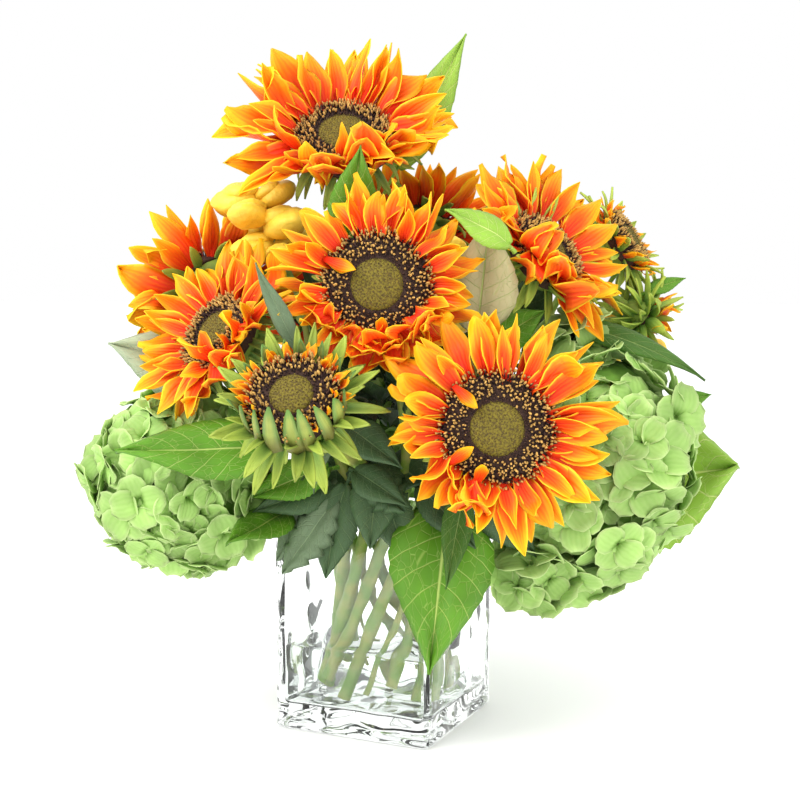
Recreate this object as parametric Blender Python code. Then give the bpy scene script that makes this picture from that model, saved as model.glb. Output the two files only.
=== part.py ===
"""Sunflowers, hydrangeas and slipper flowers standing in a square glass vase.

Metres, +Z up. The origin is the centre of the vase's foot, and the vase's sides lie
along X and Y. The bouquet has its own frame, whose -Y side is its front. That frame
has the same origin, and BOUQUET_TURN turns it about Z to where it stands in the vase.
Heights of flowers and leaves are given above the vase's rim.
"""
import math
from collections import namedtuple

import bmesh
import bpy
from mathutils import Matrix, Vector

# The vase and the water in it.
VASE_SIDE = 0.106
VASE_HEIGHT = 0.135
VASE_WALL = 0.006
VASE_FLOOR = 0.016
VASE_CORNER_RADIUS = 0.008
VASE_FOOT_BEVEL = 0.002
WATER_DEPTH = 0.036
CORNER_STEPS = 3
# How far past the water's surface a stem's channel is cut, as a share of its depth.
CHANNEL_REACH = 1.4

# How the bouquet stands in the vase.
BOUQUET_TURN = math.radians(25)
STEM_TWIST = math.radians(80)
NECK_CLEARANCE = 0.0065
NECK_RISE = 0.005
FOOT_CLEARANCE = 0.004
FOOT_STAGGER = 0.005

# Stems.
STEM_SIDES = 8
SUNFLOWER_STEM_RADIUS = 0.0042
HYDRANGEA_STEM_RADIUS = 0.0035
SLIPPER_STEM_RADIUS = 0.0020
BRANCH_RADIUS = 0.0025
STEM_CURVE_STEPS = 7
STEM_EASE = 0.40

# Sunflower heads.
DISC_DEPTH = 0.006
DISC_DOME = 0.005
DISC_SIDES = 12
HUB_WIDTH = 0.004
HUB_THICKNESS = 0.003
CALYX_DEPTH = 0.020
CALYX_LIP = 0.003
PETAL_WIDTH = 0.015
PETAL_THICKNESS = 0.0010
PETAL_TIP_WIDTH = 0.0015
PETAL_STAGGER = math.radians(7)
BRACT_WIDTH = 0.010
BRACT_THICKNESS = 0.0010

# Hydrangea heads: the share of the radius at which a head is cut flat for its stem, and
# how far its lumps rise, as a share of its radius.
HYDRANGEA_BASE = 0.72
HYDRANGEA_LUMPS = 0.03

# Leaves.
LEAF_THICKNESS = 0.0012
PETIOLE_RADIUS = 0.0014
LEAF_TIP_WIDTH = 0.0016
# A blade's outline: shares of the blade's length and of the leaf's width.
LEAF_OUTLINE = ((0.25, 0.86), (0.50, 1.0), (0.78, 0.62))

# Slipper flowers.
POUCH_SIZE = (0.016, 0.013, 0.010)
SPRAY_HEIGHT = 0.044
GOLDEN_ANGLE = math.radians(137.5)

# Thin space between two pieces that touch, and between a bent stem and its branch.
GAP = 0.0003
BRANCH_GAP = 0.0006

Sunflower = namedtuple(
    "Sunflower", "name centre facing disc petals petal_length cup bract_length bract_angle")
Hydrangea = namedtuple("Hydrangea", "name centre facing radii")
Spray = namedtuple("Spray", "name centre facing pouches")
Branch = namedtuple("Branch", "parent share")
Leaf = namedtuple("Leaf", "name stem below tip facing width arch petiole")
Stem = namedtuple("Stem", "flower route radius ends")


# What stands in the vase, and where. Leaves that hang past the rim are set out from it.

def beside_vase(angle, clearance, height):
    """A point of the bouquet's frame that stands off from the vase, at an angle in degrees."""
    radius = VASE_SIDE / 2 + clearance
    turn = math.radians(angle)
    return (radius * math.cos(turn), radius * math.sin(turn), height)


SUNFLOWERS = (
    Sunflower("sunflower_top", (-0.026, -0.012, 0.234), (0.00, -0.72, 0.69),
              0.032, 14, 0.036, 14, 0.016, -25),
    Sunflower("sunflower_centre", (-0.004, -0.094, 0.142), (0.02, -0.98, 0.18),
              0.031, 14, 0.025, 6, 0.012, -20),
    Sunflower("sunflower_low_right", (0.061, -0.130, 0.065), (0.00, -0.99, 0.10),
              0.031, 14, 0.032, 5, 0.014, -25),
    Sunflower("sunflower_left_back", (-0.112, 0.022, 0.140), (-0.52, 0.72, 0.46),
              0.028, 13, 0.034, 18, 0.016, -10),
    Sunflower("sunflower_left", (-0.098, -0.056, 0.114), (-0.60, -0.60, 0.52),
              0.026, 13, 0.027, 20, 0.014, -15),
    Sunflower("sunflower_half_open", (-0.048, -0.137, 0.082), (-0.10, -0.82, 0.56),
              0.025, 12, 0.012, 60, 0.016, -35),
    Sunflower("sunflower_right", (0.097, -0.032, 0.163), (0.58, -0.58, 0.57),
              0.026, 13, 0.030, 20, 0.014, -15),
    Sunflower("sunflower_top_back", (0.022, 0.062, 0.176), (0.15, 0.86, 0.48),
              0.026, 13, 0.032, 15, 0.016, -15),
    Sunflower("sunflower_back", (-0.044, 0.110, 0.134), (-0.30, 0.86, 0.41),
              0.028, 14, 0.034, 8, 0.014, -25),
)
SIDE_SUNFLOWERS = (
    (Sunflower("sunflower_far_right", (0.156, 0.032, 0.172), (0.78, -0.32, 0.54),
               0.021, 11, 0.013, 50, 0.009, 5), Branch("sunflower_right", 0.62)),
    (Sunflower("sunflower_small_right", (0.169, 0.018, 0.120), (0.78, 0.30, -0.55),
               0.010, 8, 0.016, 45, 0.010, 10), Branch("sunflower_far_right", 0.70)),
)
HYDRANGEAS = (
    Hydrangea("hydrangea_left", (-0.122, -0.020, 0.025), (-0.93, -0.15, 0.33), (0.060, 0.060, 0.060)),
    Hydrangea("hydrangea_right", (0.129, -0.026, 0.032), (0.93, -0.15, 0.33), (0.060, 0.068, 0.078)),
    Hydrangea("hydrangea_back", (0.012, 0.114, 0.033), (0.10, 0.94, 0.33), (0.062, 0.056, 0.054)),
)
SPRAYS = (
    Spray("slipper_flowers_left", (-0.075, -0.014, 0.182), (-0.45, 0.0, 0.89), 7),
    Spray("slipper_flowers_centre", (0.040, -0.036, 0.145), (0.25, -0.2, 0.94), 5),
)
SIDE_SPRAYS = (
    (Spray("slipper_flowers_right", (0.160, 0.066, 0.108), (0.60, 0.40, -0.40), 4),
     Branch("sunflower_far_right", 0.40)),
)
LEAVES = (
    Leaf("leaf_top", "sunflower_top", 0.0585, (0.052, 0.024, 0.303), (-0.2, -0.9, 0.3), 0.020, 0.00, 0.40),
    Leaf("leaf_below_top", "sunflower_top", 0.1515, (-0.013, -0.082, 0.222), (0.0, -1.0, 0.2),
         0.017, 0.00, 0.60),
    Leaf("leaf_folded", "sunflower_low_right", 0.0507, (0.060, -0.084, 0.181), (0.1, 0.9, 0.3),
         0.028, 0.03, 0.48),
    Leaf("leaf_left_upper", "slipper_flowers_left", 0.1092, (-0.170, -0.026, 0.106), (0.0, -0.35, 0.93),
         0.028, 0.06, 0.45),
    Leaf("leaf_left_broad", "sunflower_half_open", 0.0499, (-0.150, -0.104, 0.048), (0.0, -0.8, 0.6),
         0.042, 0.05, 0.25),
    Leaf("leaf_left_low", "slipper_flowers_left", 0.1638, beside_vase(-132.6, 0.0801, -0.006),
         (-0.2, -0.7, 0.7), 0.020, 0.05, 0.40),
    Leaf("leaf_rim_left", "sunflower_half_open", 0.0808, beside_vase(-135.0, 0.0319, -0.029),
         (-0.4, -0.9, 0.2), 0.032, 0.10, 0.25),
    Leaf("leaf_grey_front", "sunflower_half_open", 0.0665, (0.012, -0.088, 0.012), (0.0, -0.9, 0.4),
         0.030, 0.05, 0.20),
    Leaf("leaf_front_hanging", "sunflower_low_right", 0.0821, beside_vase(-76.0, 0.0501, -0.077),
         (0.1, -0.95, 0.3), 0.064, 0.14, 0.20),
    Leaf("leaf_front_small", "sunflower_low_right", 0.0507, beside_vase(-73.1, 0.0640, -0.027),
         (0.3, -0.95, 0.2), 0.020, 0.04, 0.30),
    Leaf("leaf_right_slim", "sunflower_right", 0.0447, (0.188, -0.064, 0.086), (0.0, -0.3, 0.95),
         0.018, 0.12, 0.35),
    Leaf("leaf_right_broad", "sunflower_top_back", 0.1524, (0.238, 0.042, 0.020), (0.1, -0.9, 0.4),
         0.068, -0.12, 0.55),
    Leaf("leaf_back_left", "sunflower_left_back", 0.1096, (-0.105, 0.105, 0.060), (-0.3, 0.5, 0.8),
         0.045, 0.08, 0.30),
    Leaf("leaf_back_right", "sunflower_top_back", 0.1173, (0.110, 0.120, 0.090), (0.2, 0.5, 0.8),
         0.045, 0.08, 0.30),
)


def clear_scene():
    for thing in list(bpy.data.objects):
        bpy.data.objects.remove(thing, do_unlink=True)


def material(name, colour, roughness, metallic=0.0, alpha=1.0):
    found = bpy.data.materials.get(name)
    if found:
        return found
    made = bpy.data.materials.new(name)
    made.use_nodes = True
    shader = made.node_tree.nodes["Principled BSDF"]
    shader.inputs["Base Color"].default_value = (*colour, 1.0)
    shader.inputs["Roughness"].default_value = roughness
    shader.inputs["Metallic"].default_value = metallic
    shader.inputs["Alpha"].default_value = alpha
    made.diffuse_color = (*colour, alpha)
    return made


def petal_material():
    return material("petal_orange", (0.85, 0.22, 0.02), 0.6)


def disc_material():
    return material("seed_disc", (0.06, 0.025, 0.015), 0.8)


def stem_material():
    return material("stem_green", (0.16, 0.26, 0.06), 0.6)


def leaf_material():
    return material("leaf_green", (0.10, 0.27, 0.05), 0.55)


def hydrangea_material():
    return material("hydrangea_green", (0.35, 0.58, 0.18), 0.7)


def slipper_material():
    return material("slipper_yellow", (0.75, 0.45, 0.05), 0.6)


def glass_material():
    return material("clear_glass", (0.90, 0.94, 0.92), 0.05, alpha=0.35)


def water_material():
    return material("water", (0.88, 0.93, 0.93), 0.05, alpha=0.25)


def make_object(name, bm, finish):
    bmesh.ops.recalc_face_normals(bm, faces=bm.faces)
    if bm.calc_volume(signed=True) < 0:
        bmesh.ops.reverse_faces(bm, faces=bm.faces)
    mesh = bpy.data.meshes.new(name)
    bm.to_mesh(mesh)
    bm.free()
    mesh.shade_smooth()
    mesh.set_sharp_from_angle(angle=math.radians(40))
    mesh.materials.append(finish)
    made = bpy.data.objects.new(name, mesh)
    bpy.context.scene.collection.objects.link(made)
    return made


def in_bouquet(point):
    """A point of the bouquet's frame, height above the rim, in the row's frame."""
    raised = Vector(point) + Vector((0, 0, VASE_HEIGHT))
    return Matrix.Rotation(BOUQUET_TURN, 3, "Z") @ raised


def turned(direction):
    """A direction of the bouquet's frame in the row's frame, of length one."""
    return (Matrix.Rotation(BOUQUET_TURN, 3, "Z") @ Vector(direction)).normalized()


def loft(rings):
    """One closed body through a list of rings, each with the same number of points."""
    bm = bmesh.new()
    rows = [[bm.verts.new(point) for point in ring] for ring in rings]
    count = len(rows[0])
    for low, high in zip(rows, rows[1:]):
        for i in range(count):
            j = (i + 1) % count
            bm.faces.new((low[i], low[j], high[j], high[i]))
    bm.faces.new(rows[0][::-1])
    bm.faces.new(rows[-1])
    return bm


def tangents(points):
    found = []
    for i, point in enumerate(points):
        before = points[max(i - 1, 0)]
        after = points[min(i + 1, len(points) - 1)]
        found.append((after - before).normalized())
    return found


def tube_rings(points, radii, sides, ends=None):
    """Rings of a tube along points; ends may give the first and last ring's normals."""
    directions = tangents(points)
    if ends:
        directions[0] = ends[0] or directions[0]
        directions[-1] = ends[1] or directions[-1]
    start = Vector((0, 0, 1)) if abs(directions[0].z) < 0.9 else Vector((1, 0, 0))
    side = directions[0].cross(start).normalized()
    rings = []
    last = directions[0]
    for point, radius, direction in zip(points, radii, directions):
        side = (last.rotation_difference(direction) @ side).normalized()
        other = direction.cross(side)
        last = direction
        ring = []
        for i in range(sides):
            angle = 2 * math.pi * i / sides
            ring.append(point + radius * (math.cos(angle) * side + math.sin(angle) * other))
        rings.append(ring)
    return rings


def bezier(start, start_handle, end_handle, end, steps):
    points = []
    for i in range(1, steps + 1):
        t = i / steps
        s = 1 - t
        points.append(s**3 * start + 3 * s * s * t * start_handle
                      + 3 * s * t * t * end_handle + t**3 * end)
    return points


# The vase and the water.

def rounded_square(side, radius, height):
    ring = []
    inset = side / 2 - radius
    for corner, (x, y) in enumerate(((1, 1), (-1, 1), (-1, -1), (1, -1))):
        for step in range(CORNER_STEPS + 1):
            angle = math.pi / 2 * (corner + step / CORNER_STEPS)
            ring.append(Vector((x * inset + radius * math.cos(angle),
                                y * inset + radius * math.sin(angle), height)))
    return ring


def inner_side():
    return VASE_SIDE - 2 * VASE_WALL


def inner_corner():
    return VASE_CORNER_RADIUS - VASE_WALL


def make_vase():
    half_wall = VASE_WALL / 2
    rings = [
        rounded_square(VASE_SIDE - 2 * VASE_FOOT_BEVEL, VASE_CORNER_RADIUS - VASE_FOOT_BEVEL, 0),
        rounded_square(VASE_SIDE, VASE_CORNER_RADIUS, VASE_FOOT_BEVEL),
        rounded_square(VASE_SIDE, VASE_CORNER_RADIUS, VASE_HEIGHT - half_wall),
        rounded_square(VASE_SIDE - half_wall, VASE_CORNER_RADIUS - half_wall / 2, VASE_HEIGHT),
        rounded_square(inner_side() + half_wall, inner_corner() + half_wall / 2, VASE_HEIGHT),
        rounded_square(inner_side(), inner_corner(), VASE_HEIGHT - half_wall),
        rounded_square(inner_side(), inner_corner(), VASE_FLOOR),
    ]
    return make_object("vase", loft(rings), glass_material())


def make_water(stems):
    """The water fills the vase round the stems, with a thin gap to all that it touches."""
    side = inner_side() - 2 * GAP
    corner = inner_corner() - GAP
    floor = VASE_FLOOR + GAP
    surface = VASE_FLOOR + WATER_DEPTH
    body = loft([rounded_square(side, corner, floor), rounded_square(side, corner, surface)])
    water = make_object("water", body, water_material())
    cutters = bmesh.new()
    for stem in stems:
        foot, neck = stem.route[:2]
        direction = (neck - foot).normalized()
        reach = (surface - foot.z) * CHANNEL_REACH / direction.z
        ends = (foot - GAP * direction, foot + reach * direction)
        grown = stem.radius + GAP / math.cos(math.pi / STEM_SIDES)
        piece = loft(tube_rings(ends, (grown, grown), STEM_SIDES))
        mesh = bpy.data.meshes.new("stem_channel")
        piece.to_mesh(mesh)
        piece.free()
        cutters.from_mesh(mesh)
    cutter = make_object("stem_channels", cutters, water_material())
    cutter.hide_render = True
    cutter.display_type = "WIRE"
    cut = water.modifiers.new("stem_channels", "BOOLEAN")
    cut.operation = "DIFFERENCE"
    cut.solver = "EXACT"
    cut.object = cutter
    return water


# Where each stem runs.

def neck_ring_radius(stem_radius):
    return inner_side() / 2 - NECK_CLEARANCE - stem_radius


def around(radius, angle, height):
    return Vector((radius * math.cos(angle), radius * math.sin(angle), height))


def stem_slots(flowers):
    """Each flower's place round the neck, in the order in which the flowers stand."""
    by_angle = sorted(flowers, key=lambda flower: math.atan2(flower.centre[1], flower.centre[0]))
    pitch = 2 * math.pi / len(by_angle)
    drift = [math.atan2(flower.centre[1], flower.centre[0]) - i * pitch
             for i, flower in enumerate(by_angle)]
    start = sum(drift) / len(drift)
    return {flower.name: start + i * pitch for i, flower in enumerate(by_angle)}


def stem_base(slot, number, stem_radius):
    """The lower end of a stem and the point where it leaves the vase."""
    angle = slot + BOUQUET_TURN
    radius = neck_ring_radius(stem_radius)
    height = VASE_FLOOR + FOOT_CLEARANCE + FOOT_STAGGER * (number % 3)
    foot = around(radius, angle - STEM_TWIST, height)
    neck = around(radius, angle, VASE_HEIGHT + NECK_RISE)
    return foot, neck


def stem_route(start, leaving, end, arriving):
    reach = (end - start).length * STEM_EASE
    return [start] + bezier(start, start + reach * leaving, end - reach * arriving, end, STEM_CURVE_STEPS)


def along(route, share):
    """The point and the direction at a share of a route's length."""
    lengths = [(b - a).length for a, b in zip(route, route[1:])]
    left = share * sum(lengths)
    for (a, b), length in zip(zip(route, route[1:]), lengths):
        if left <= length:
            return a.lerp(b, left / length), (b - a).normalized()
        left -= length
    return route[-1], (route[-1] - route[-2]).normalized()


def below_flower(route, distance):
    """The point and the direction at a distance below a route's upper end."""
    length = sum((b - a).length for a, b in zip(route, route[1:]))
    return along(route, 1 - distance / length)


def branch_start(stem, share, towards):
    """A branch leaves its stem sideways, just off the stem's surface."""
    point, direction = along(stem.route, share)
    sideways = towards - point
    sideways = (sideways - sideways.dot(direction) * direction).normalized()
    return point + (stem.radius + BRANCH_GAP) * sideways, sideways


# Sunflowers.

def head_matrix(flower):
    facing = turned(flower.facing)
    turn = facing.to_track_quat("Z", "Y").to_matrix().to_4x4()
    return Matrix.Translation(in_bouquet(flower.centre)) @ turn


def hub_inner_radius(flower):
    return (flower.disc + GAP) / math.cos(math.pi / flower.petals)


def make_seed_disc(flower):
    """A low dome with a flat back, turned about the head's axis."""
    profile = ((0, -DISC_DEPTH), (flower.disc, -DISC_DEPTH), (flower.disc, 0),
               (flower.disc * 0.80, DISC_DOME * 0.8), (flower.disc * 0.45, DISC_DOME), (0, DISC_DOME))
    bm = bmesh.new()
    verts = [bm.verts.new((r, 0, z)) for r, z in profile]
    edges = [bm.edges.new(pair) for pair in zip(verts, verts[1:])]
    bmesh.ops.spin(bm, geom=verts + edges, cent=(0, 0, 0), axis=(0, 0, 1), angle=2 * math.pi,
                   steps=DISC_SIDES, use_merge=True)
    bmesh.ops.remove_doubles(bm, verts=bm.verts, dist=1e-5)
    bm.transform(head_matrix(flower))
    return make_object(flower.name + "_seed_disc", bm, disc_material())


def outer_faces(bm, beyond):
    found = []
    for face in bm.faces:
        middle = face.calc_center_median()
        if middle.xy.length > beyond and abs(face.normal.z) < 0.5:
            found.append((math.atan2(middle.y, middle.x), face))
    return [face for angle, face in sorted(found, key=lambda pair: pair[0])]


def grow_blade(bm, face, length, lift, stations, thickness):
    """Extrude a blade from an outer face: stations are (share of length, width)."""
    middle = face.calc_center_median()
    outward = Vector((middle.x, middle.y, 0)).normalized()
    along_rim = Vector((-outward.y, outward.x, 0))
    heading = outward * math.cos(lift) + Vector((0, 0, math.sin(lift)))
    normal = heading.cross(along_rim)
    normal = normal if normal.z > 0 else -normal
    for share, width in stations:
        face = bmesh.ops.extrude_discrete_faces(bm, faces=[face])["faces"][0]
        here = face.calc_center_median()
        centre = middle + share * length * heading
        places = []
        for vert in face.verts:
            arm = vert.co - here
            across = 1 if arm.dot(along_rim) > 0 else -1
            up = 1 if arm.dot(normal) > 0 else -1
            places.append((vert, centre + across * width / 2 * along_rim + up * thickness / 2 * normal))
        for vert, place in places:
            vert.co = place


def make_petals(flower):
    """The petals grow from one hub ring round the seed disc, every other one higher."""
    inner = hub_inner_radius(flower)
    outer = (flower.disc + HUB_WIDTH) / math.cos(math.pi / flower.petals)
    low = -DISC_DEPTH
    high = low + HUB_THICKNESS
    bm = bmesh.new()
    corners = [bm.verts.new(place) for place in
               ((inner, 0, low), (outer, 0, low), (outer, 0, high), (inner, 0, high))]
    edges = [bm.edges.new((corners[i], corners[(i + 1) % 4])) for i in range(4)]
    bmesh.ops.spin(bm, geom=corners + edges, cent=(0, 0, 0), axis=(0, 0, 1), angle=2 * math.pi,
                   steps=flower.petals, use_merge=True)
    bmesh.ops.recalc_face_normals(bm, faces=bm.faces)
    stations = ((0.35, PETAL_WIDTH), (0.70, PETAL_WIDTH * 0.8), (1.0, PETAL_TIP_WIDTH))
    for i, face in enumerate(outer_faces(bm, inner)):
        lift = math.radians(flower.cup) + (PETAL_STAGGER if i % 2 else 0)
        grow_blade(bm, face, flower.petal_length, lift, stations, PETAL_THICKNESS)
    bm.transform(head_matrix(flower))
    return make_object(flower.name + "_petals", bm, petal_material())


def calyx_base(flower):
    """Where the stem's flare begins, behind the head."""
    return in_bouquet(flower.centre) - (DISC_DEPTH + GAP + CALYX_DEPTH) * turned(flower.facing)


def make_sunflower_stem(stem):
    """The stem flares into the calyx, whose bracts grow back from its rim."""
    flower = stem.flower
    facing = turned(flower.facing)
    base = stem.route[-1]
    rim = flower.disc + HUB_WIDTH * 0.5
    flare = ((0.45, 0.55), (1 - CALYX_LIP / CALYX_DEPTH, 1.0), (1.0, 1.0))
    points = stem.route + [base + share * CALYX_DEPTH * facing for share, width in flare]
    radii = [stem.radius] * len(stem.route) + [rim * width for share, width in flare]
    bm = loft(tube_rings(points, radii, STEM_SIDES, stem.ends))
    local = head_matrix(flower).inverted()
    bm.transform(local)
    bmesh.ops.recalc_face_normals(bm, faces=bm.faces)
    lip = [face for face in outer_faces(bm, rim * 0.8)
           if face.calc_center_median().z > -DISC_DEPTH - GAP - CALYX_LIP]
    stations = ((0.4, BRACT_WIDTH), (1.0, PETAL_TIP_WIDTH))
    lift = math.radians(flower.bract_angle)
    for face in lip:
        grow_blade(bm, face, flower.bract_length, lift, stations, BRACT_THICKNESS)
    bm.transform(local.inverted())
    return make_object(flower.name + "_stem", bm, stem_material())


# Hydrangeas.

def make_hydrangea_head(flower):
    """A lumpy ball with a flat back where the stem meets it."""
    bm = bmesh.new()
    bmesh.ops.create_icosphere(bm, subdivisions=3, radius=1.0)
    facing = turned(flower.facing)
    turn = Matrix.Rotation(BOUQUET_TURN, 3, "Z")
    for vert in bm.verts:
        x, y, z = vert.co
        lump = 1 + HYDRANGEA_LUMPS * math.sin(5 * x + 3 * z) * math.cos(4 * y - 2 * z)
        scaled = Vector((x * flower.radii[0], y * flower.radii[1], z * flower.radii[2])) * lump
        vert.co = turn @ scaled
    base = -facing * hydrangea_base_distance(flower)
    cut = bmesh.ops.bisect_plane(bm, geom=list(bm.verts) + list(bm.edges) + list(bm.faces), dist=1e-6,
                                 plane_co=base, plane_no=-facing, clear_outer=True)
    rim = [item for item in cut["geom_cut"] if isinstance(item, bmesh.types.BMEdge)]
    bmesh.ops.edgeloop_fill(bm, edges=rim)
    bmesh.ops.translate(bm, verts=bm.verts, vec=in_bouquet(flower.centre))
    return make_object(flower.name + "_head", bm, hydrangea_material())


def hydrangea_base_distance(flower):
    """From the head's centre to its flat back, along the head's axis."""
    x, y, z = flower.radii
    a, b, c = Vector(flower.facing).normalized()
    return HYDRANGEA_BASE / math.sqrt((a / x) ** 2 + (b / y) ** 2 + (c / z) ** 2)


def hydrangea_stem_end(flower):
    facing = turned(flower.facing)
    return in_bouquet(flower.centre) - (hydrangea_base_distance(flower) + GAP) * facing


def plain_stem(stem, route):
    return loft(tube_rings(route, [stem.radius] * len(route), STEM_SIDES, stem.ends))


def make_hydrangea_stem(stem):
    return make_object(stem.flower.name + "_stem", plain_stem(stem, stem.route), stem_material())


# Slipper flowers.

def spray_end(spray, side):
    """The lower end of a spray's axis for side -1, and its upper end for side 1."""
    return in_bouquet(spray.centre) + side * SPRAY_HEIGHT / 2 * turned(spray.facing)


def pouch_places(spray):
    """Pouches set round the spray's axis on a short spiral, each a little higher."""
    places = []
    for i in range(spray.pouches):
        angle = i * GOLDEN_ANGLE
        height = (i / (spray.pouches - 1) - 0.5) * SPRAY_HEIGHT
        reach = POUCH_SIZE[1] * 0.8
        places.append(Vector((reach * math.cos(angle), reach * math.sin(angle), height)))
    return places


def make_pouch(place):
    bm = bmesh.new()
    bmesh.ops.create_icosphere(bm, subdivisions=1, radius=1.0)
    bmesh.ops.scale(bm, verts=bm.verts, vec=POUCH_SIZE)
    heading = Vector((place.x, place.y, 0)).to_track_quat("X", "Z").to_matrix()
    bmesh.ops.rotate(bm, verts=bm.verts, cent=(0, 0, 0), matrix=heading)
    bmesh.ops.translate(bm, verts=bm.verts, vec=place)
    return bm


def make_spray(stem):
    """The stem runs up through its pouches, and all are joined into one body."""
    spray = stem.flower
    place = head_matrix(spray)
    route = stem.route + [spray_end(spray, 1)]
    made = make_object(spray.name, plain_stem(stem, route), slipper_material())
    for i, spot in enumerate(pouch_places(spray)):
        pouch_mesh = make_pouch(spot)
        pouch_mesh.transform(place)
        pouch = make_object(f"{spray.name}_pouch_{i + 1}", pouch_mesh, slipper_material())
        pouch.hide_render = True
        pouch.display_type = "WIRE"
        join = made.modifiers.new(pouch.name, "BOOLEAN")
        join.operation = "UNION"
        join.solver = "EXACT"
        join.object = pouch
    return made


# Leaves.

def make_leaf(leaf, stem):
    """A blade with a raised midrib on its petiole, arched between the stem and its tip."""
    tip = in_bouquet(leaf.tip)
    point, direction = below_flower(stem.route, leaf.below)
    out = (tip - point).normalized()
    sideways = (out - out.dot(direction) * direction).normalized()
    base = point + (stem.radius + GAP + PETIOLE_RADIUS) * sideways
    chord = tip - base
    heading = chord.normalized()
    across = heading.cross(turned(leaf.facing)).normalized()
    normal = across.cross(heading)
    stalk = leaf.petiole
    round_width = PETIOLE_RADIUS * 2
    stations = [(0.0, round_width, round_width), (stalk, round_width, round_width)]
    for share, width in LEAF_OUTLINE:
        stations.append((stalk + share * (1 - stalk), width * leaf.width, LEAF_THICKNESS))
    stations.append((1.0, LEAF_TIP_WIDTH, LEAF_THICKNESS))
    rings = []
    for share, width, thickness in stations:
        rise = leaf.arch * chord.length * 4 * share * (1 - share)
        middle = base + share * chord + rise * normal
        rings.append([middle - across * width / 2, middle - normal * thickness / 2,
                      middle + across * width / 2, middle + normal * thickness / 2])
    return make_object(leaf.name, loft(rings), leaf_material())


# The whole bouquet.

def stem_radius_of(flower):
    if flower in SUNFLOWERS:
        return SUNFLOWER_STEM_RADIUS
    return HYDRANGEA_STEM_RADIUS if flower in HYDRANGEAS else SLIPPER_STEM_RADIUS


def stem_top(flower):
    """Where a stem's curve ends: at the calyx, the hydrangea's back or the lowest pouch."""
    if isinstance(flower, Sunflower):
        return calyx_base(flower)
    return hydrangea_stem_end(flower) if isinstance(flower, Hydrangea) else spray_end(flower, -1)


def plan_stems():
    """Each flower's stem: its route, radius and the directions of its two ends."""
    standing = SUNFLOWERS + HYDRANGEAS + SPRAYS
    slots = stem_slots(standing)
    stems = {}
    for number, flower in enumerate(sorted(standing, key=lambda one: slots[one.name])):
        radius = stem_radius_of(flower)
        foot, neck = stem_base(slots[flower.name], number, radius)
        leaving = (neck - foot).normalized()
        arriving = turned(flower.facing)
        route = [foot] + stem_route(neck, leaving, stem_top(flower), arriving)
        stems[flower.name] = Stem(flower, route, radius, (leaving, arriving))
    for flower, branch in SIDE_SUNFLOWERS + SIDE_SPRAYS:
        radius = BRANCH_RADIUS if isinstance(flower, Sunflower) else SLIPPER_STEM_RADIUS
        end = stem_top(flower)
        start, leaving = branch_start(stems[branch.parent], branch.share, end)
        arriving = turned(flower.facing)
        route = stem_route(start, leaving, end, arriving)
        stems[flower.name] = Stem(flower, route, radius, (leaving, arriving))
    return stems


def build():
    clear_scene()
    make_vase()
    stems = plan_stems()
    for stem in stems.values():
        if isinstance(stem.flower, Sunflower):
            make_sunflower_stem(stem)
            make_petals(stem.flower)
            make_seed_disc(stem.flower)
        elif isinstance(stem.flower, Hydrangea):
            make_hydrangea_stem(stem)
            make_hydrangea_head(stem.flower)
        else:
            make_spray(stem)
    for leaf in LEAVES:
        make_leaf(leaf, stems[leaf.stem])
    make_water([stem for stem in stems.values() if stem.route[0].z < VASE_FLOOR + WATER_DEPTH])


build()
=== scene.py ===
# %% [markdown]
# A bouquet in a square glass vase: eleven sunflowers, three heads of hydrangea, three
# sprays of slipper flowers and their leaves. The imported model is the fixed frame. It
# holds the place and the size of each flower, so each piece below reads both from it.

# %% Load the frame
import math
import random
from collections import namedtuple

import bmesh
import bpy
import numpy as np
from mathutils import Matrix, Vector


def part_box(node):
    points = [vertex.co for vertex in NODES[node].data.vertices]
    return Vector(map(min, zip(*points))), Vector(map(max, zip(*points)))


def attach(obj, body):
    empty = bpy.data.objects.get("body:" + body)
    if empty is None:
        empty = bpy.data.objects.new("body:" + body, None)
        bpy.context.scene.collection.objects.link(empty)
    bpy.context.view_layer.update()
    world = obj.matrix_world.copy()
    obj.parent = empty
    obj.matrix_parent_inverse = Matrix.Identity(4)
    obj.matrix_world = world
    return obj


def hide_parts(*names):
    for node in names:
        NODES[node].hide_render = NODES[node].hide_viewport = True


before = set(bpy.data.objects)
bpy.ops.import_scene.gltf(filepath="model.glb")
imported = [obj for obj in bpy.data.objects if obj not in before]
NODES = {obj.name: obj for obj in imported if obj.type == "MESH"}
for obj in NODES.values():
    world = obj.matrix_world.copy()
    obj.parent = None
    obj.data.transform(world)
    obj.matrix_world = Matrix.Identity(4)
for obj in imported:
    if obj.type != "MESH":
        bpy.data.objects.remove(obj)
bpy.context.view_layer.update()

# %% [markdown]
# The bouquet stands in the vase at an angle, so the camera looks at a corner of the
# vase. It stands a little above the flowers and looks slightly down. A long lens keeps
# the sides of the vase nearly parallel.

# %% Camera
BOUQUET_TURN = math.radians(25)
CAMERA_STAND = Vector((0.009, -0.827, 0.273))
CAMERA_PITCH = math.radians(4.7)
CAMERA_LENS = 58.5


def in_scene(name, data):
    """A new object for the data, linked to the scene."""
    made = bpy.data.objects.new(name, data)
    bpy.context.scene.collection.objects.link(made)
    return made


camera = in_scene("camera", bpy.data.cameras.new("camera"))
camera.data.lens = CAMERA_LENS
camera.data.sensor_width = 36
camera.location = Matrix.Rotation(BOUQUET_TURN, 3, "Z") @ CAMERA_STAND
camera.rotation_euler = (math.radians(90) - CAMERA_PITCH, 0, BOUQUET_TURN)
bpy.context.scene.camera = camera
print("camera at", tuple(round(c, 3) for c in camera.location))

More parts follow.
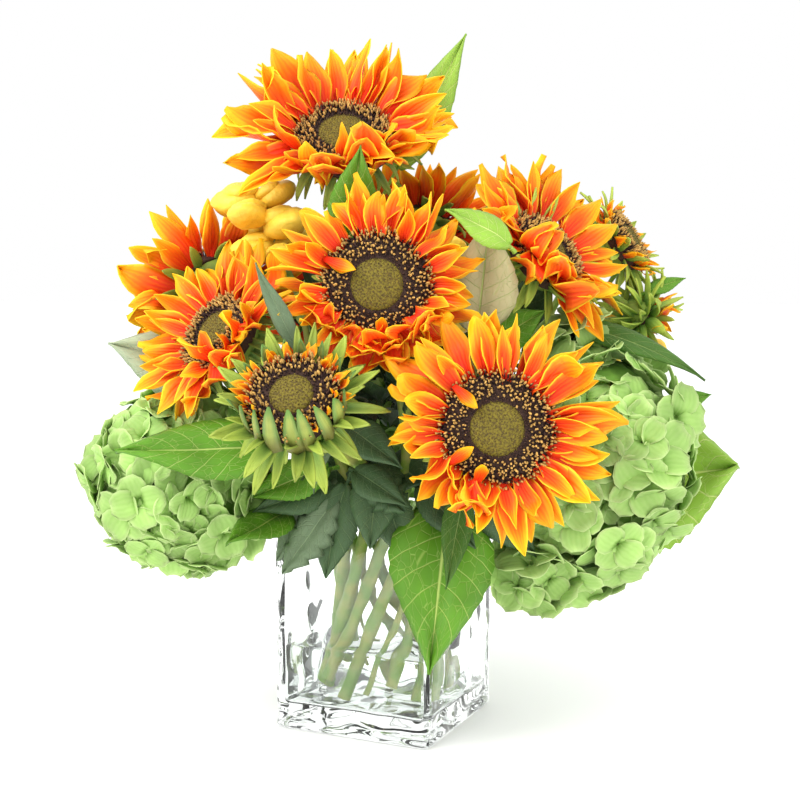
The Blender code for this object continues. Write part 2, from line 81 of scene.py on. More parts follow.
# %% [markdown]
# A product of this kind is lit by large soft lights in a white room, so that petals
# show their colour and glass shows no hard spots. A white world does most of that.
# One large light from the upper left gives the petals a lit side and a shaded side.
# A glass vase in a room that is white all round has no outline, so the world has two
# grey bands that only its reflections and bends pick up.

# %% Room and lights
FLOOR_SIZE = 60.0
BAND_GREY = (0.74, 0.79, 0.76, 1)
WORLD_LIGHT = 1.2


def make_world():
    world = bpy.data.worlds.new("studio")
    bpy.context.scene.world = world
    world.use_nodes = True
    tree = world.node_tree
    places = tree.nodes.new("ShaderNodeTexCoord")
    split = tree.nodes.new("ShaderNodeSeparateXYZ")
    bands = tree.nodes.new("ShaderNodeMath")
    bands.operation = "MULTIPLY"
    shade = tree.nodes.new("ShaderNodeValToRGB")
    shade.color_ramp.elements[0].position = 0.25
    shade.color_ramp.elements[0].color = (1, 1, 1, 1)
    shade.color_ramp.elements[1].position = 0.80
    shade.color_ramp.elements[1].color = BAND_GREY
    link = tree.links.new
    link(places.outputs["Generated"], split.inputs[0])
    link(split.outputs["X"], bands.inputs[0])
    link(split.outputs["X"], bands.inputs[1])
    link(bands.outputs[0], shade.inputs[0])
    back = tree.nodes["Background"]
    link(shade.outputs[0], back.inputs["Color"])
    back.inputs["Strength"].default_value = WORLD_LIGHT
    plain = tree.nodes.new("ShaderNodeBackground")
    plain.inputs["Color"].default_value = (1, 1, 1, 1)
    plain.inputs["Strength"].default_value = 1.0
    seen = tree.nodes.new("ShaderNodeLightPath")
    mix = tree.nodes.new("ShaderNodeMixShader")
    link(seen.outputs["Is Camera Ray"], mix.inputs[0])
    link(back.outputs[0], mix.inputs[1])
    link(plain.outputs[0], mix.inputs[2])
    link(mix.outputs[0], tree.nodes["World Output"].inputs["Surface"])


def area_light(name, place, target, size, power):
    light = bpy.data.lights.new(name, "AREA")
    light.size = size
    light.energy = power
    lamp = in_scene(name, light)
    lamp.location = place
    lamp.rotation_euler = (Vector(target) - Vector(place)).to_track_quat("-Z", "Y").to_euler()


make_world()
MIDDLE = Vector((0, 0, 0.25))
area_light("key", (-0.5, -1.2, 1.3), MIDDLE, 1.0, 20)
area_light("fill", (1.3, -0.6, 0.7), MIDDLE, 1.5, 6)
bpy.context.scene.view_settings.view_transform = "Standard"
bpy.ops.mesh.primitive_plane_add(size=FLOOR_SIZE, location=(0, 0, 0))
floor = bpy.context.object
floor.name = "floor"
print("room ready")

# %% [markdown]
# Every piece is made in the same few steps, so these helpers hold them. Operators act
# on all that is selected, so each step starts by selecting nothing.

# %% Helpers for selecting and shaping
def deselect_all():
    bpy.ops.object.select_all(action="DESELECT")


def work_on(piece):
    deselect_all()
    piece.select_set(True)
    bpy.context.view_layer.objects.active = piece


def pick_points(piece, test):
    """In edit mode, selects the points whose place passes the test."""
    points = bmesh.from_edit_mesh(piece.data)
    for point in points.verts:
        point.select = test(point.co)
    points.select_flush_mode()
    bmesh.update_edit_mesh(piece.data)


def pick_edges(piece, test):
    """In edit mode, selects the edges that pass the test."""
    mesh = bmesh.from_edit_mesh(piece.data)
    for edge in mesh.edges:
        edge.select = test(edge)
    bmesh.update_edit_mesh(piece.data)


def apply_modifier(piece, kind, **settings):
    work_on(piece)
    added = piece.modifiers.new(kind.lower(), kind)
    for name, value in settings.items():
        setattr(added, name, value)
    bpy.ops.object.modifier_apply(modifier=added.name)


def aim(direction, axis="Z", up="Y"):
    """The turn that points an axis along a direction."""
    return direction.to_track_quat(axis, up).to_matrix().to_4x4()


def diced_angle(dice, limit):
    return math.radians(dice.uniform(-limit, limit))


def ball(segments, rings):
    deselect_all()
    bpy.ops.mesh.primitive_uv_sphere_add(segments=segments, ring_count=rings, radius=1)
    return bpy.context.object


def half_ball(segments, upwards):
    """The upper half of a ball if upwards is 1, the lower one if it is -1. It is closed and
    a little more than half."""
    half = ball(segments, segments // 2)
    bpy.ops.object.mode_set(mode="EDIT")
    bpy.ops.mesh.select_all(action="SELECT")
    bpy.ops.mesh.bisect(plane_co=(0, 0, -0.05 * upwards), plane_no=(0, 0, -upwards),
                        clear_outer=True, use_fill=True)
    bpy.ops.object.mode_set(mode="OBJECT")
    return half


def smoothed(share):
    share = min(max(share, 0.0), 1.0)
    return share * share * (3 - 2 * share)


# %% [markdown]
# Petals, sepals and leaves are all blades: wider in the middle, pointed at the end, and
# cupped or creased along the middle. Each blade starts as a flat grid one unit long. In
# edit mode each cross row is resized to the blade's outline, lifted to its curve, and
# its edges are raised. A thin shell then gives the blade two sides.

# %% Blades
def new_grid(name, across, along):
    deselect_all()
    bpy.ops.mesh.primitive_grid_add(x_subdivisions=across, y_subdivisions=along, size=1,
                                    location=(0, 0.5, 0))
    grid = bpy.context.object
    grid.name = name
    bpy.ops.object.transform_apply(location=True)
    return grid


def shape_blade(name, section, along, outline, rise, cup, thickness):
    """section: edge heights from the middle column outwards. outline, rise and cup give
    the half width, the lift and the share of the section at a share of the length."""
    across = 2 * (len(section) - 1)
    blade = new_grid(name, across, along)
    bpy.ops.object.mode_set(mode="EDIT")
    for column, height in enumerate(section):
        side = column / across
        pick_points(blade, lambda co: abs(abs(co.x) - side) < 0.01)
        bpy.ops.transform.translate(value=(0, 0, height))
    for row in range(along + 1):
        share = row / along
        pick_points(blade, lambda co: abs(co.y - share) < 0.1 / along)
        bpy.ops.transform.resize(value=(2 * outline(share), 1, cup(share)),
                                 center_override=(0, share, 0))
        bpy.ops.transform.translate(value=(0, 0, rise(share)))
    bpy.ops.object.mode_set(mode="OBJECT")
    apply_modifier(blade, "SOLIDIFY", thickness=thickness, offset=0)
    return blade


def put_away(pattern):
    """The pattern's mesh stays, and its object goes."""
    mesh = pattern.data
    bpy.data.objects.remove(pattern)
    return mesh


# %% [markdown]
# A flower repeats one petal many times, and no two of its petals are alike. So each
# petal copy gets its own bend, twist and size, and an attribute named tint that its
# material reads to make it a little lighter or darker.

# %% Copies
def bent(points, curl, twist, ruffle):
    """Points of a blade one unit long, curled up along its length and twisted about it;
    ruffle is how far its edges wave."""
    y = np.clip(points[:, 1], 0, None)
    side, start = points[:, 0] / 0.18, 37 * curl + 23 * twist
    wave = side * np.sin(7 * y + start) + 0.6 * side**2 * np.sin(11 * y + 2 * start)
    points = points + np.outer(ruffle * y * wave, (0, 0, 1))
    turn = twist * y
    x = points[:, 0] * np.cos(turn) - points[:, 2] * np.sin(turn)
    z = points[:, 0] * np.sin(turn) + points[:, 2] * np.cos(turn)
    if abs(curl) > 1e-4:
        angle = curl * y
        along = np.where(y > 1e-6, np.sin(angle) / curl, y) - z * np.sin(angle)
        z = (1 - np.cos(angle)) / curl + z * np.cos(angle)
        along = np.where(points[:, 1] < 0, points[:, 1], along)
        return np.stack([x, along, z], axis=1)
    return np.stack([x, points[:, 1], z], axis=1)


def copies(name, patterns, places, ruffle=0.0):
    """One piece from many copies; a place is (pattern, matrix, tint, curl, twist)."""
    points, corners, sizes, uvs, tints = [], [], [], [], []
    start = 0
    for number, matrix, tint, curl, twist in places:
        mesh = patterns[number]
        count = len(mesh.vertices)
        local = np.empty(count * 3)
        mesh.vertices.foreach_get("co", local)
        local = bent(local.reshape(-1, 3), curl, twist, ruffle)
        grid = np.array(matrix)
        points.append(local @ grid[:3, :3].T + grid[:3, 3])
        index = np.empty(len(mesh.loops), dtype=np.int32)
        mesh.loops.foreach_get("vertex_index", index)
        total = np.empty(len(mesh.polygons), dtype=np.int32)
        mesh.polygons.foreach_get("loop_total", total)
        uv = np.zeros(len(mesh.loops) * 2)
        if mesh.uv_layers:
            mesh.uv_layers[0].uv.foreach_get("vector", uv)
        corners.append(index + start)
        sizes.append(total)
        uvs.append(uv)
        tints.append(np.full(count, tint))
        start += count
    made = bpy.data.meshes.new(name)
    points, corners, sizes, uvs, tints = map(np.concatenate, (points, corners, sizes, uvs, tints))
    made.vertices.add(len(points))
    made.vertices.foreach_set("co", points.ravel())
    made.loops.add(len(corners))
    made.loops.foreach_set("vertex_index", corners)
    made.polygons.add(len(sizes))
    starts = np.concatenate([[0], np.cumsum(sizes)[:-1]]).astype(np.int32)
    made.polygons.foreach_set("loop_start", starts)
    made.update(calc_edges=True)
    made.uv_layers.new(name="UVMap").uv.foreach_set("vector", uvs)
    made.attributes.new("tint", "FLOAT", "POINT").data.foreach_set("value", tints)
    made.validate()
    made.shade_smooth()
    return in_scene(name, made)


def dress(piece, finish, slot, *nodes):
    """Gives a finished piece its material, its body and the CAD nodes that it stands for."""
    piece.data.materials.clear()
    piece.data.materials.append(finish)
    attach(piece, "root")
    if nodes:
        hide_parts(*nodes)
    print(piece.name, len(piece.data.polygons), "faces")


# %% [markdown]
# A finish is a tree of shader nodes. Every finish here adds and joins the same few
# kinds of node, so these helpers do that. They keep each finish down to the lines that
# say what it looks like.

# %% Helpers for nodes
def add_node(tree, kind, **values):
    node = tree.nodes.new(kind)
    for name, value in values.items():
        setattr(node, name, value)
    return node


def feed(tree, socket, value):
    """Gives a socket a number, a colour or another node's output."""
    if isinstance(value, (int, float)):
        socket.default_value = value
    elif isinstance(value, tuple):
        socket.default_value = (*value, 1.0)
    else:
        tree.links.new(value, socket)


def math_node(tree, operation, first, *second):
    node = add_node(tree, "ShaderNodeMath", operation=operation)
    for socket, value in zip(node.inputs, (first, *second)):
        feed(tree, socket, value)
    return node.outputs[0]


def times(tree, first, second):
    return math_node(tree, "MULTIPLY", first, second)


def plus(tree, first, second):
    return math_node(tree, "ADD", first, second)


def smooth_step(tree, value, low, high):
    node = add_node(tree, "ShaderNodeMapRange", interpolation_type="SMOOTHSTEP")
    for name, part in (("Value", value), ("From Min", low), ("From Max", high)):
        feed(tree, node.inputs[name], part)
    return node.outputs["Result"]


def mix_colour(tree, share, first, second, blend="MIX"):
    node = add_node(tree, "ShaderNodeMix", data_type="RGBA", blend_type=blend)
    for slot, value in ((0, share), (6, first), (7, second)):
        feed(tree, node.inputs[slot], value)
    return node.outputs[2]


def object_noise(tree, scale, detail=2.0):
    """Noise in the piece's own space, so that it stays where it is on the piece."""
    places = add_node(tree, "ShaderNodeTexCoord")
    noise = add_node(tree, "ShaderNodeTexNoise")
    tree.links.new(places.outputs["Object"], noise.inputs["Vector"])
    feed(tree, noise.inputs["Scale"], scale)
    noise.inputs["Detail"].default_value = detail
    return noise.outputs["Fac"]


def uv_of_blade(tree):
    uv = add_node(tree, "ShaderNodeUVMap").outputs[0]
    split = add_node(tree, "ShaderNodeSeparateXYZ")
    tree.links.new(uv, split.inputs[0])
    return uv, split.outputs["X"], split.outputs["Y"]


# %% [markdown]
# Petals, leaves and florets share two effects. One is a mottle of lighter and darker
# patches with each copy's own tint. The other is fine lines along a blade, which raise
# its surface a little. Both are node groups, so they are built once.

# %% Node groups
NUMBER = "NodeSocketFloat"


def new_group(name, inputs, output):
    """A group with number inputs, given as name=value, and one number output."""
    group = bpy.data.node_groups.new(name, "ShaderNodeTree")
    for label, value in inputs.items():
        socket = group.interface.new_socket(name=label, in_out="INPUT", socket_type=NUMBER)
        socket.default_value = value
    group.interface.new_socket(name=output, in_out="OUTPUT", socket_type=NUMBER)
    start = group.nodes.new("NodeGroupInput")
    end = group.nodes.new("NodeGroupOutput")
    return group, start.outputs, end.inputs[output]


def make_mottle():
    """Value that multiplies a colour: broad noise and each copy's own tint."""
    group, given, shade = new_group("mottle", {"Scale": 120.0, "Strength": 0.3}, "Shade")
    noise = object_noise(group, given["Scale"], 3.0)
    tint = add_node(group, "ShaderNodeAttribute", attribute_name="tint").outputs["Fac"]
    wave = times(group, math_node(group, "SUBTRACT", noise, 0.5), given["Strength"])
    group.links.new(plus(group, plus(group, wave, tint), 1.0), shade)
    return group


def make_blade_lines():
    """Fine lines from a blade's foot to its tip, from its UV map."""
    group, given, line = new_group("blade_lines", {"Count": 9.0}, "Line")
    uv, across, _ = uv_of_blade(group)
    sway = add_node(group, "ShaderNodeTexNoise")
    sway.inputs["Scale"].default_value = 4
    group.links.new(uv, sway.inputs["Vector"])
    swayed = plus(group, across, times(group, sway.outputs["Fac"], 0.12))
    turns = times(group, times(group, swayed, given["Count"]), 2 * math.pi)
    wave = times(group, math_node(group, "COSINE", turns), 0.5)
    group.links.new(plus(group, wave, 0.5), line)
    return group


MOTTLE = make_mottle()
BLADE_LINES = make_blade_lines()
print("node groups", MOTTLE.name, BLADE_LINES.name)


# %% [markdown]
# A finish starts as a Principled BSDF with its own roughness. The effects reach it in
# two ways: as paint on its colour, and as small bumps that bend its light.

# %% Helpers for finishes
def new_material(name, roughness, **settings):
    """A material and its shader; settings name the shader's sockets."""
    made = bpy.data.materials.new(name)
    made.use_nodes = True
    shader = made.node_tree.nodes["Principled BSDF"]
    shader.inputs["Roughness"].default_value = roughness
    for label, value in settings.items():
        feed(made.node_tree, shader.inputs[label.replace("_", " ")], value)
    return made, made.node_tree, shader


def use_group(tree, group, **values):
    node = add_node(tree, "ShaderNodeGroup", node_tree=group)
    for name, value in values.items():
        node.inputs[name].default_value = value
    return node.outputs[0]


def blade_places(tree):
    """From a blade's UV map: its share of the length, and how near its edge a point is."""
    uv, across, length = uv_of_blade(tree)
    side = times(tree, math_node(tree, "SUBTRACT", across, 0.5), 2)
    return length, math_node(tree, "ABSOLUTE", side), uv


def paint(tree, shader, colour, scale, strength):
    """The colour, multiplied by the mottle group's shade, becomes the base colour."""
    shade = use_group(tree, MOTTLE, Scale=scale, Strength=strength)
    grey = add_node(tree, "ShaderNodeCombineColor")
    for socket in grey.inputs[:3]:
        tree.links.new(shade, socket)
    tree.links.new(mix_colour(tree, 1.0, colour, grey.outputs[0], "MULTIPLY"),
                   shader.inputs["Base Color"])


def add_bump(tree, shader, height, distance):
    bump = add_node(tree, "ShaderNodeBump")
    bump.inputs["Strength"].default_value = 0.6
    bump.inputs["Distance"].default_value = distance
    tree.links.new(height, bump.inputs["Height"])
    tree.links.new(bump.outputs[0], shader.inputs["Normal"])


# %% [markdown]
# Silk petals are printed: deep red-orange at the foot, orange along the blade and gold
# at the tip and along the edges. The UV map of each blade runs from its foot to its
# tip, so the print follows the petal however it bends. The fine lines fade towards the
# tip, where the blade is too narrow for them.

# %% Petal finish
PETAL_RED = (0.76, 0.026, 0.003)
PETAL_ORANGE = (0.93, 0.165, 0.003)
PETAL_GOLD = (1.0, 0.46, 0.005)
PETAL_RIM = (1.0, 0.62, 0.018)


def make_petal_finish():
    made, tree, shader = new_material("petal_silk", 0.55, Specular_IOR_Level=0.25)
    length, side, _ = blade_places(tree)
    line = use_group(tree, BLADE_LINES, Count=6.0)
    heart = times(tree, math_node(tree, "POWER", side, 2.0), 0.34)
    heart = plus(tree, heart, times(tree, length, 0.90))
    heart = plus(tree, heart, times(tree, line, 0.14))
    body = mix_colour(tree, smooth_step(tree, heart, 0.24, 0.90), PETAL_RED, PETAL_ORANGE)
    gold = times(tree, math_node(tree, "POWER", side, 3.0), 0.50)
    gold = plus(tree, plus(tree, gold, length), times(tree, line, -0.14))
    body = mix_colour(tree, smooth_step(tree, gold, 0.46, 1.05), body, PETAL_GOLD)
    rim = times(tree, smooth_step(tree, side, 0.86, 0.98), smooth_step(tree, length, 0.10, 0.40))
    paint(tree, shader, mix_colour(tree, rim, body, PETAL_RIM), 90.0, 0.30)
    fading = math_node(tree, "SUBTRACT", 1.0, smooth_step(tree, length, 0.55, 0.92))
    add_bump(tree, shader, times(tree, line, fading), 0.0004)
    return made


PETAL_FINISH = make_petal_finish()
print("petals", PETAL_FINISH.name)

# %% [markdown]
# The seed disc is nearly black between its tubes. The tubes carry an attribute named
# kind, so that one finish colours all three kinds: a tan tip on a dark foot, a dark
# one, and the olive fuzz of the middle.

# %% Seed disc finishes
DISC_DARK = (0.022, 0.008, 0.008)
DISC_EARTH = (0.07, 0.03, 0.015)
DISC_BROWN = (0.09, 0.035, 0.02)
DISC_TAN = (0.56, 0.33, 0.085)
DISC_OLIVE = (0.20, 0.155, 0.010)
OLIVE_FOOT = (0.085, 0.055, 0.006)
FUZZ_SCALE = 900


def make_disc_finish():
    made, tree, shader = new_material("seed_disc_dark", 0.85)
    noise = object_noise(tree, FUZZ_SCALE)
    tree.links.new(mix_colour(tree, noise, DISC_DARK, DISC_EARTH), shader.inputs["Base Color"])
    add_bump(tree, shader, noise, 0.001)
    return made


def make_tube_finish():
    made, tree, shader = new_material("disc_florets", 0.8)
    length, _, _ = blade_places(tree)
    kind = add_node(tree, "ShaderNodeAttribute", attribute_name="kind").outputs["Fac"]
    fuzz = object_noise(tree, FUZZ_SCALE)
    tan = mix_colour(tree, smooth_step(tree, length, 0.35, 0.65), DISC_DARK, DISC_TAN)
    dark = mix_colour(tree, smooth_step(tree, length, 0.5, 1.0), DISC_DARK, DISC_BROWN)
    olive = mix_colour(tree, smooth_step(tree, fuzz, 0.35, 0.62), OLIVE_FOOT, DISC_OLIVE)
    body = mix_colour(tree, smooth_step(tree, kind, 0.4, 0.6), tan, dark)
    body = mix_colour(tree, smooth_step(tree, kind, 1.4, 1.6), body, olive)
    paint(tree, shader, body, 300.0, 0.5)
    add_bump(tree, shader, fuzz, 0.0012)
    return made


DISC_FINISH = make_disc_finish()
TUBE_FINISH = make_tube_finish()
print("seed discs", DISC_FINISH.name, TUBE_FINISH.name)

# %% [markdown]
# Bracts are green and grow paler towards their tips and edges. The ones that stand up
# round the half-open flower are darker at the foot, pale in the middle and sage along
# their edges.

# %% Bract finishes
BRACT_GREEN = (0.115, 0.24, 0.038)
BRACT_PALE = (0.34, 0.43, 0.050)
CROWN_SAGE = (0.17, 0.27, 0.06)
CROWN_PALE = (0.31, 0.36, 0.07)
CROWN_FOOT = (0.15, 0.15, 0.025)


def make_bract_finish(name, print_blade):
    made, tree, shader = new_material(name, 0.6)
    length, side, _ = blade_places(tree)
    paint(tree, shader, print_blade(tree, length, side), 110.0, 0.6)
    add_bump(tree, shader, use_group(tree, BLADE_LINES, Count=5.0), 0.0002)
    return made


def bract_print(tree, length, side):
    body = mix_colour(tree, smooth_step(tree, length, 0.0, 0.9), BRACT_GREEN, BRACT_PALE)
    edge = times(tree, math_node(tree, "POWER", side, 4.0), 0.6)
    return mix_colour(tree, edge, body, BRACT_PALE)


def crown_print(tree, length, side):
    body = mix_colour(tree, smooth_step(tree, side, 0.15, 0.75), CROWN_PALE, CROWN_SAGE)
    body = mix_colour(tree, smooth_step(tree, length, 0.15, 0.55), CROWN_FOOT, body)
    return mix_colour(tree, smooth_step(tree, length, 0.72, 1.0), body, BRACT_GREEN)


BRACT_FINISH = make_bract_finish("bract_green", bract_print)
CROWN_FINISH = make_bract_finish("crown_bract", crown_print)
print("bracts", BRACT_FINISH.name, CROWN_FINISH.name)

# %% [markdown]
# A silk leaf is printed with a pale midrib, side veins that run forward from it and a
# fine net between them. The veins also sink a little. All the leaves share this print
# and differ only in their two colours.

# %% Leaf finishes
LEAF_COLOURS = {
    # The material, the record's slot, the blade's colour and the veins' colour.
    "green": ("leaf_silk", "green_leaves", (0.100, 0.265, 0.014), (0.44, 0.58, 0.14)),
    "bright": ("bright_leaf_silk", "green_leaves", (0.27, 0.47, 0.05), (0.66, 0.76, 0.25)),
    "sage": ("sage_leaf_silk", "grey_leaves", (0.13, 0.19, 0.10), (0.24, 0.33, 0.18)),
    "tan": ("leaf_underside_silk", "green_leaves", (0.50, 0.46, 0.24), (0.40, 0.52, 0.16)),
    "grey": ("grey_leaf_silk", "grey_leaves", (0.050, 0.100, 0.036), (0.16, 0.24, 0.10)),
    "dark": ("dark_leaf_silk", "green_leaves", (0.055, 0.14, 0.016), (0.26, 0.38, 0.11)),
    "pale": ("pale_leaf_silk", "grey_leaves", (0.42, 0.50, 0.32), (0.55, 0.62, 0.44)),
}
SIDE_VEINS = 7.0
NET_SCALE = 11


def make_leaf_finish(name, green, vein):
    made, tree, shader = new_material(name, 0.5, Specular_IOR_Level=0.3)
    length, side, uv = blade_places(tree)
    forward = math_node(tree, "SUBTRACT", length, times(tree, side, 0.20))
    step = math_node(tree, "FRACT", times(tree, forward, SIDE_VEINS))
    to_vein = math_node(tree, "ABSOLUTE", math_node(tree, "SUBTRACT", step, 0.5))
    net = add_node(tree, "ShaderNodeTexVoronoi", feature="DISTANCE_TO_EDGE")
    net.inputs["Scale"].default_value = NET_SCALE
    tree.links.new(uv, net.inputs["Vector"])
    veins = smooth_step(tree, side, 0.045, 0.01)
    for line, strength in ((smooth_step(tree, to_vein, 0.045, 0.0), 0.75),
                           (smooth_step(tree, net.outputs["Distance"], 0.035, 0.0), 0.40)):
        veins = math_node(tree, "MAXIMUM", veins, times(tree, line, strength))
    paint(tree, shader, mix_colour(tree, veins, green, vein), 45.0, 0.7)
    add_bump(tree, shader, math_node(tree, "SUBTRACT", 1.0, veins), 0.0012)
    return made


LEAF_FINISHES = {look: (make_leaf_finish(name, green, vein), slot)
                 for look, (name, slot, green, vein) in LEAF_COLOURS.items()}
print("leaves", *LEAF_FINISHES)

# %% [markdown]
# A hydrangea's petals are deep green at the foot and pale along the rim. The ball
# behind them is the same deep green, so that gaps look like shade. The slipper flowers
# are a fuzzy yellow that turns orange towards the bottom of each lobe, which is painted
# shade in the crease under the lip and on the pouch's underside. The moulded stems are
# blotched with olive.

# %% Hydrangea, slipper flower and stem finishes
FLORET_GREEN = (0.31, 0.51, 0.125)
FLORET_PALE = (0.58, 0.74, 0.30)
FLORET_DEEP = (0.14, 0.29, 0.035)
POUCH_YELLOW = (0.93, 0.66, 0.06)
POUCH_SHADE_ORANGE = (0.76, 0.40, 0.020)
STEM_GREEN = (0.19, 0.36, 0.035)
STEM_OLIVE = (0.41, 0.43, 0.10)


def make_floret_finish():
    made, tree, shader = new_material("hydrangea_silk", 0.65, Specular_IOR_Level=0.3)
    length, side, _ = blade_places(tree)
    line = use_group(tree, BLADE_LINES, Count=6.0)
    body = mix_colour(tree, smooth_step(tree, length, -0.05, 0.30), FLORET_DEEP, FLORET_GREEN)
    rim = math_node(tree, "MAXIMUM", math_node(tree, "POWER", side, 8.0),
                    math_node(tree, "POWER", length, 9.0))
    body = mix_colour(tree, times(tree, rim, 0.8), body, FLORET_PALE)
    body = mix_colour(tree, times(tree, line, 0.10), body, FLORET_PALE)
    paint(tree, shader, body, 40.0, 0.9)
    add_bump(tree, shader, line, 0.0002)
    return made


def make_core_finish():
    made, tree, shader = new_material("hydrangea_core", 0.9)
    paint(tree, shader, FLORET_DEEP, 150.0, 0.9)
    return made


def make_pouch_finish():
    made, tree, shader = new_material("slipper_silk", 0.5)
    length, _, _ = blade_places(tree)
    # The orange towards the bottom of each lobe is painted shade, in the crease under the lip and
    # on the pouch's underside.
    body = mix_colour(tree, smooth_step(tree, length, 0.15, 0.6), POUCH_SHADE_ORANGE, POUCH_YELLOW)
    paint(tree, shader, body, 80.0, 0.7)
    add_bump(tree, shader, object_noise(tree, 260), 0.0015)
    return made


def make_stem_finish():
    made, tree, shader = new_material("stem_plastic", 0.5)
    noise = object_noise(tree, 70, 4.0)
    blotches = smooth_step(tree, noise, 0.35, 0.65)
    tree.links.new(mix_colour(tree, blotches, STEM_GREEN, STEM_OLIVE), shader.inputs["Base Color"])
    add_bump(tree, shader, noise, 0.002)
    return made


FLORET_FINISH = make_floret_finish()
CORE_FINISH = make_core_finish()
POUCH_FINISH = make_pouch_finish()
STEM_FINISH = make_stem_finish()
print("others", FLORET_FINISH.name, CORE_FINISH.name, POUCH_FINISH.name, STEM_FINISH.name)

# %% [markdown]
# Glass and water are clear: light passes through them and bends. The glass has slow
# ripples from its mould. The floor is pale and matt. The shaded part of it that shows
# through the vase would turn the glass grey, so to light that has passed through or
# glanced off something the floor shines a little more.

# %% Glass, water and floor finishes
GLASS_BEND = 1.45
WATER_BEND = 1.14
FLOOR_GLOW = 0.20
FLOOR_GLOW_THROUGH_GLASS = 0.65


def make_clear_finish(name, colour, bend):
    return new_material(name, 0.0, Base_Color=colour, Transmission_Weight=1.0, IOR=bend)


def make_glass_finish():
    made, tree, shader = make_clear_finish("rippled_glass", (0.950, 0.972, 0.960), GLASS_BEND)
    add_bump(tree, shader, object_noise(tree, 38, 0.0), 0.0095)
    return made


def make_floor_finish():
    made, tree, shader = new_material("pale_floor", 0.7, Base_Color=(0.90, 0.90, 0.90),
                                      Emission_Color=(1.0, 1.0, 1.0))
    ray = add_node(tree, "ShaderNodeLightPath").outputs
    through = math_node(tree, "MAXIMUM", ray["Is Transmission Ray"], ray["Is Glossy Ray"])
    glow = plus(tree, times(tree, through, FLOOR_GLOW_THROUGH_GLASS), FLOOR_GLOW)
    tree.links.new(glow, shader.inputs["Emission Strength"])
    return made


GLASS_FINISH = make_glass_finish()
WATER_FINISH = make_clear_finish("still_water", (0.97, 0.99, 0.98), WATER_BEND)[0]
floor.data.materials.append(make_floor_finish())
print(len(bpy.data.materials), "materials")

# %% [markdown]
# A sunflower's place is read from its frame nodes. The seed disc's flat back gives the
# centre, the facing and the radius. The points furthest from that axis give how far
# the petals reach and how much they rise. The bouquet stands turned in its vase, and
# TO_ROW turns what is given from the bouquet's front into the model's own axes.

# %% Read a head from the frame
DISC_DEPTH = 0.006
TO_ROW = Matrix.Rotation(BOUQUET_TURN, 3, "Z")


def node_points(node):
    mesh = NODES[node].data
    points = np.empty(len(mesh.vertices) * 3)
    mesh.vertices.foreach_get("co", points)
    return points.reshape(-1, 3)


def flat_back(node):
    """The middle and the outward normal of a node's largest flat face."""
    areas = {}
    for face in NODES[node].data.polygons:
        key = tuple(round(c, 2) for c in face.normal)
        total, middle, normal = areas.get(key, (0.0, Vector(), face.normal.copy()))
        areas[key] = (total + face.area, middle + face.area * face.center, normal)
    total, middle, normal = max(areas.values(), key=lambda entry: entry[0])
    return middle / total, normal.normalized()


def about_axis(points, centre, facing):
    """Each point's distance from the axis and its height along it."""
    offset = points - np.array(centre)
    height = offset @ np.array(facing)
    return np.linalg.norm(offset - np.outer(height, np.array(facing)), axis=1), height


def tips(points, centre, facing):
    """How far the outermost points are from the axis, and how high."""
    reach, height = about_axis(points, centre, facing)
    far = reach > np.quantile(reach, 0.97) - 1e-5
    return reach[far].mean(), height[far].mean()


def read_head(flower):
    back, normal = flat_back(flower + "_seed_disc")
    facing = -normal
    centre = back + DISC_DEPTH * facing
    disc = about_axis(node_points(flower + "_seed_disc"), centre, facing)[0].max()
    reach, rise = tips(node_points(flower + "_petals"), centre, facing)
    return {"name": flower, "centre": centre, "facing": facing, "disc": disc,
            "length": math.hypot(reach - disc, rise), "cup": math.atan2(rise, reach - disc),
            "place": Matrix.Translation(centre) @ aim(facing)}


HEADS = [read_head(node.removesuffix("_seed_disc")) for node in sorted(NODES)
         if node.endswith("_seed_disc")]
for head in HEADS:
    print(head["name"], "disc", round(head["disc"], 3), "petal", round(head["length"], 3),
          "cup", round(math.degrees(head["cup"])))

# %% [markdown]
# A petal is a long blade about three times as long as it is wide. Six shapes are
# enough: cupped, flat with a raised tip, wavy, creased, broad and ruffled. They are
# modelled one unit long and copied at their real size. The print of the ruffled one is
# drawn out, so that it stays red for more of its length.

# %% Petal shapes
PETAL_SHELL = 0.010


def petal_outline(widest, width, foot):
    def outline(share):
        if share < widest:
            return width * (foot + (1 - foot) * smoothed(share / widest))
        return width * max(math.cos((share - widest) / (1 - widest) * math.pi / 2) ** 0.85, 0.03)
    return outline


def petal_shape(name, widest, width, section, rise, cup):
    outline = petal_outline(widest, width, 0.45)
    return put_away(shape_blade(name, section, 10, outline, rise, cup, PETAL_SHELL))


PETALS = [
    petal_shape("petal_cupped", 0.48, 0.170, (0, 0.3, 1.0), lambda s: 0.03 * math.sin(3.1 * s),
                lambda s: 0.10 * math.sin(math.pi * s) + 0.01),
    petal_shape("petal_tip_up", 0.42, 0.180, (0, 0.3, 1.0), lambda s: 0.16 * s**3,
                lambda s: 0.08 * math.sin(math.pi * s) + 0.01),
    petal_shape("petal_wavy", 0.52, 0.180, (0, 0.5, 1.0), lambda s: 0.045 * math.sin(9 * s),
                lambda s: 0.11 * math.sin(2.2 * math.pi * s) + 0.02),
    petal_shape("petal_creased", 0.40, 0.155, (0, 0.7, 1.0), lambda s: -0.06 * s * s,
                lambda s: 0.15 * (1 - s) + 0.01),
    petal_shape("petal_broad", 0.55, 0.200, (0, 0.2, 1.0), lambda s: 0.04 * s,
                lambda s: 0.09 * math.sin(1.6 * math.pi * s) - 0.005),
    petal_shape("petal_ruffled", 0.60, 0.215, (0, 0.35, 1.0), lambda s: 0.06 * math.sin(8 * s),
                lambda s: 0.13 * math.sin(8 * s)),
]
RUFFLED = 5
RUFFLED_PRINT = 0.62
for corner in PETALS[RUFFLED].uv_layers[0].data:
    corner.uv.y *= RUFFLED_PRINT
print(len(PETALS), "petal shapes of", len(PETALS[0].polygons), "faces")

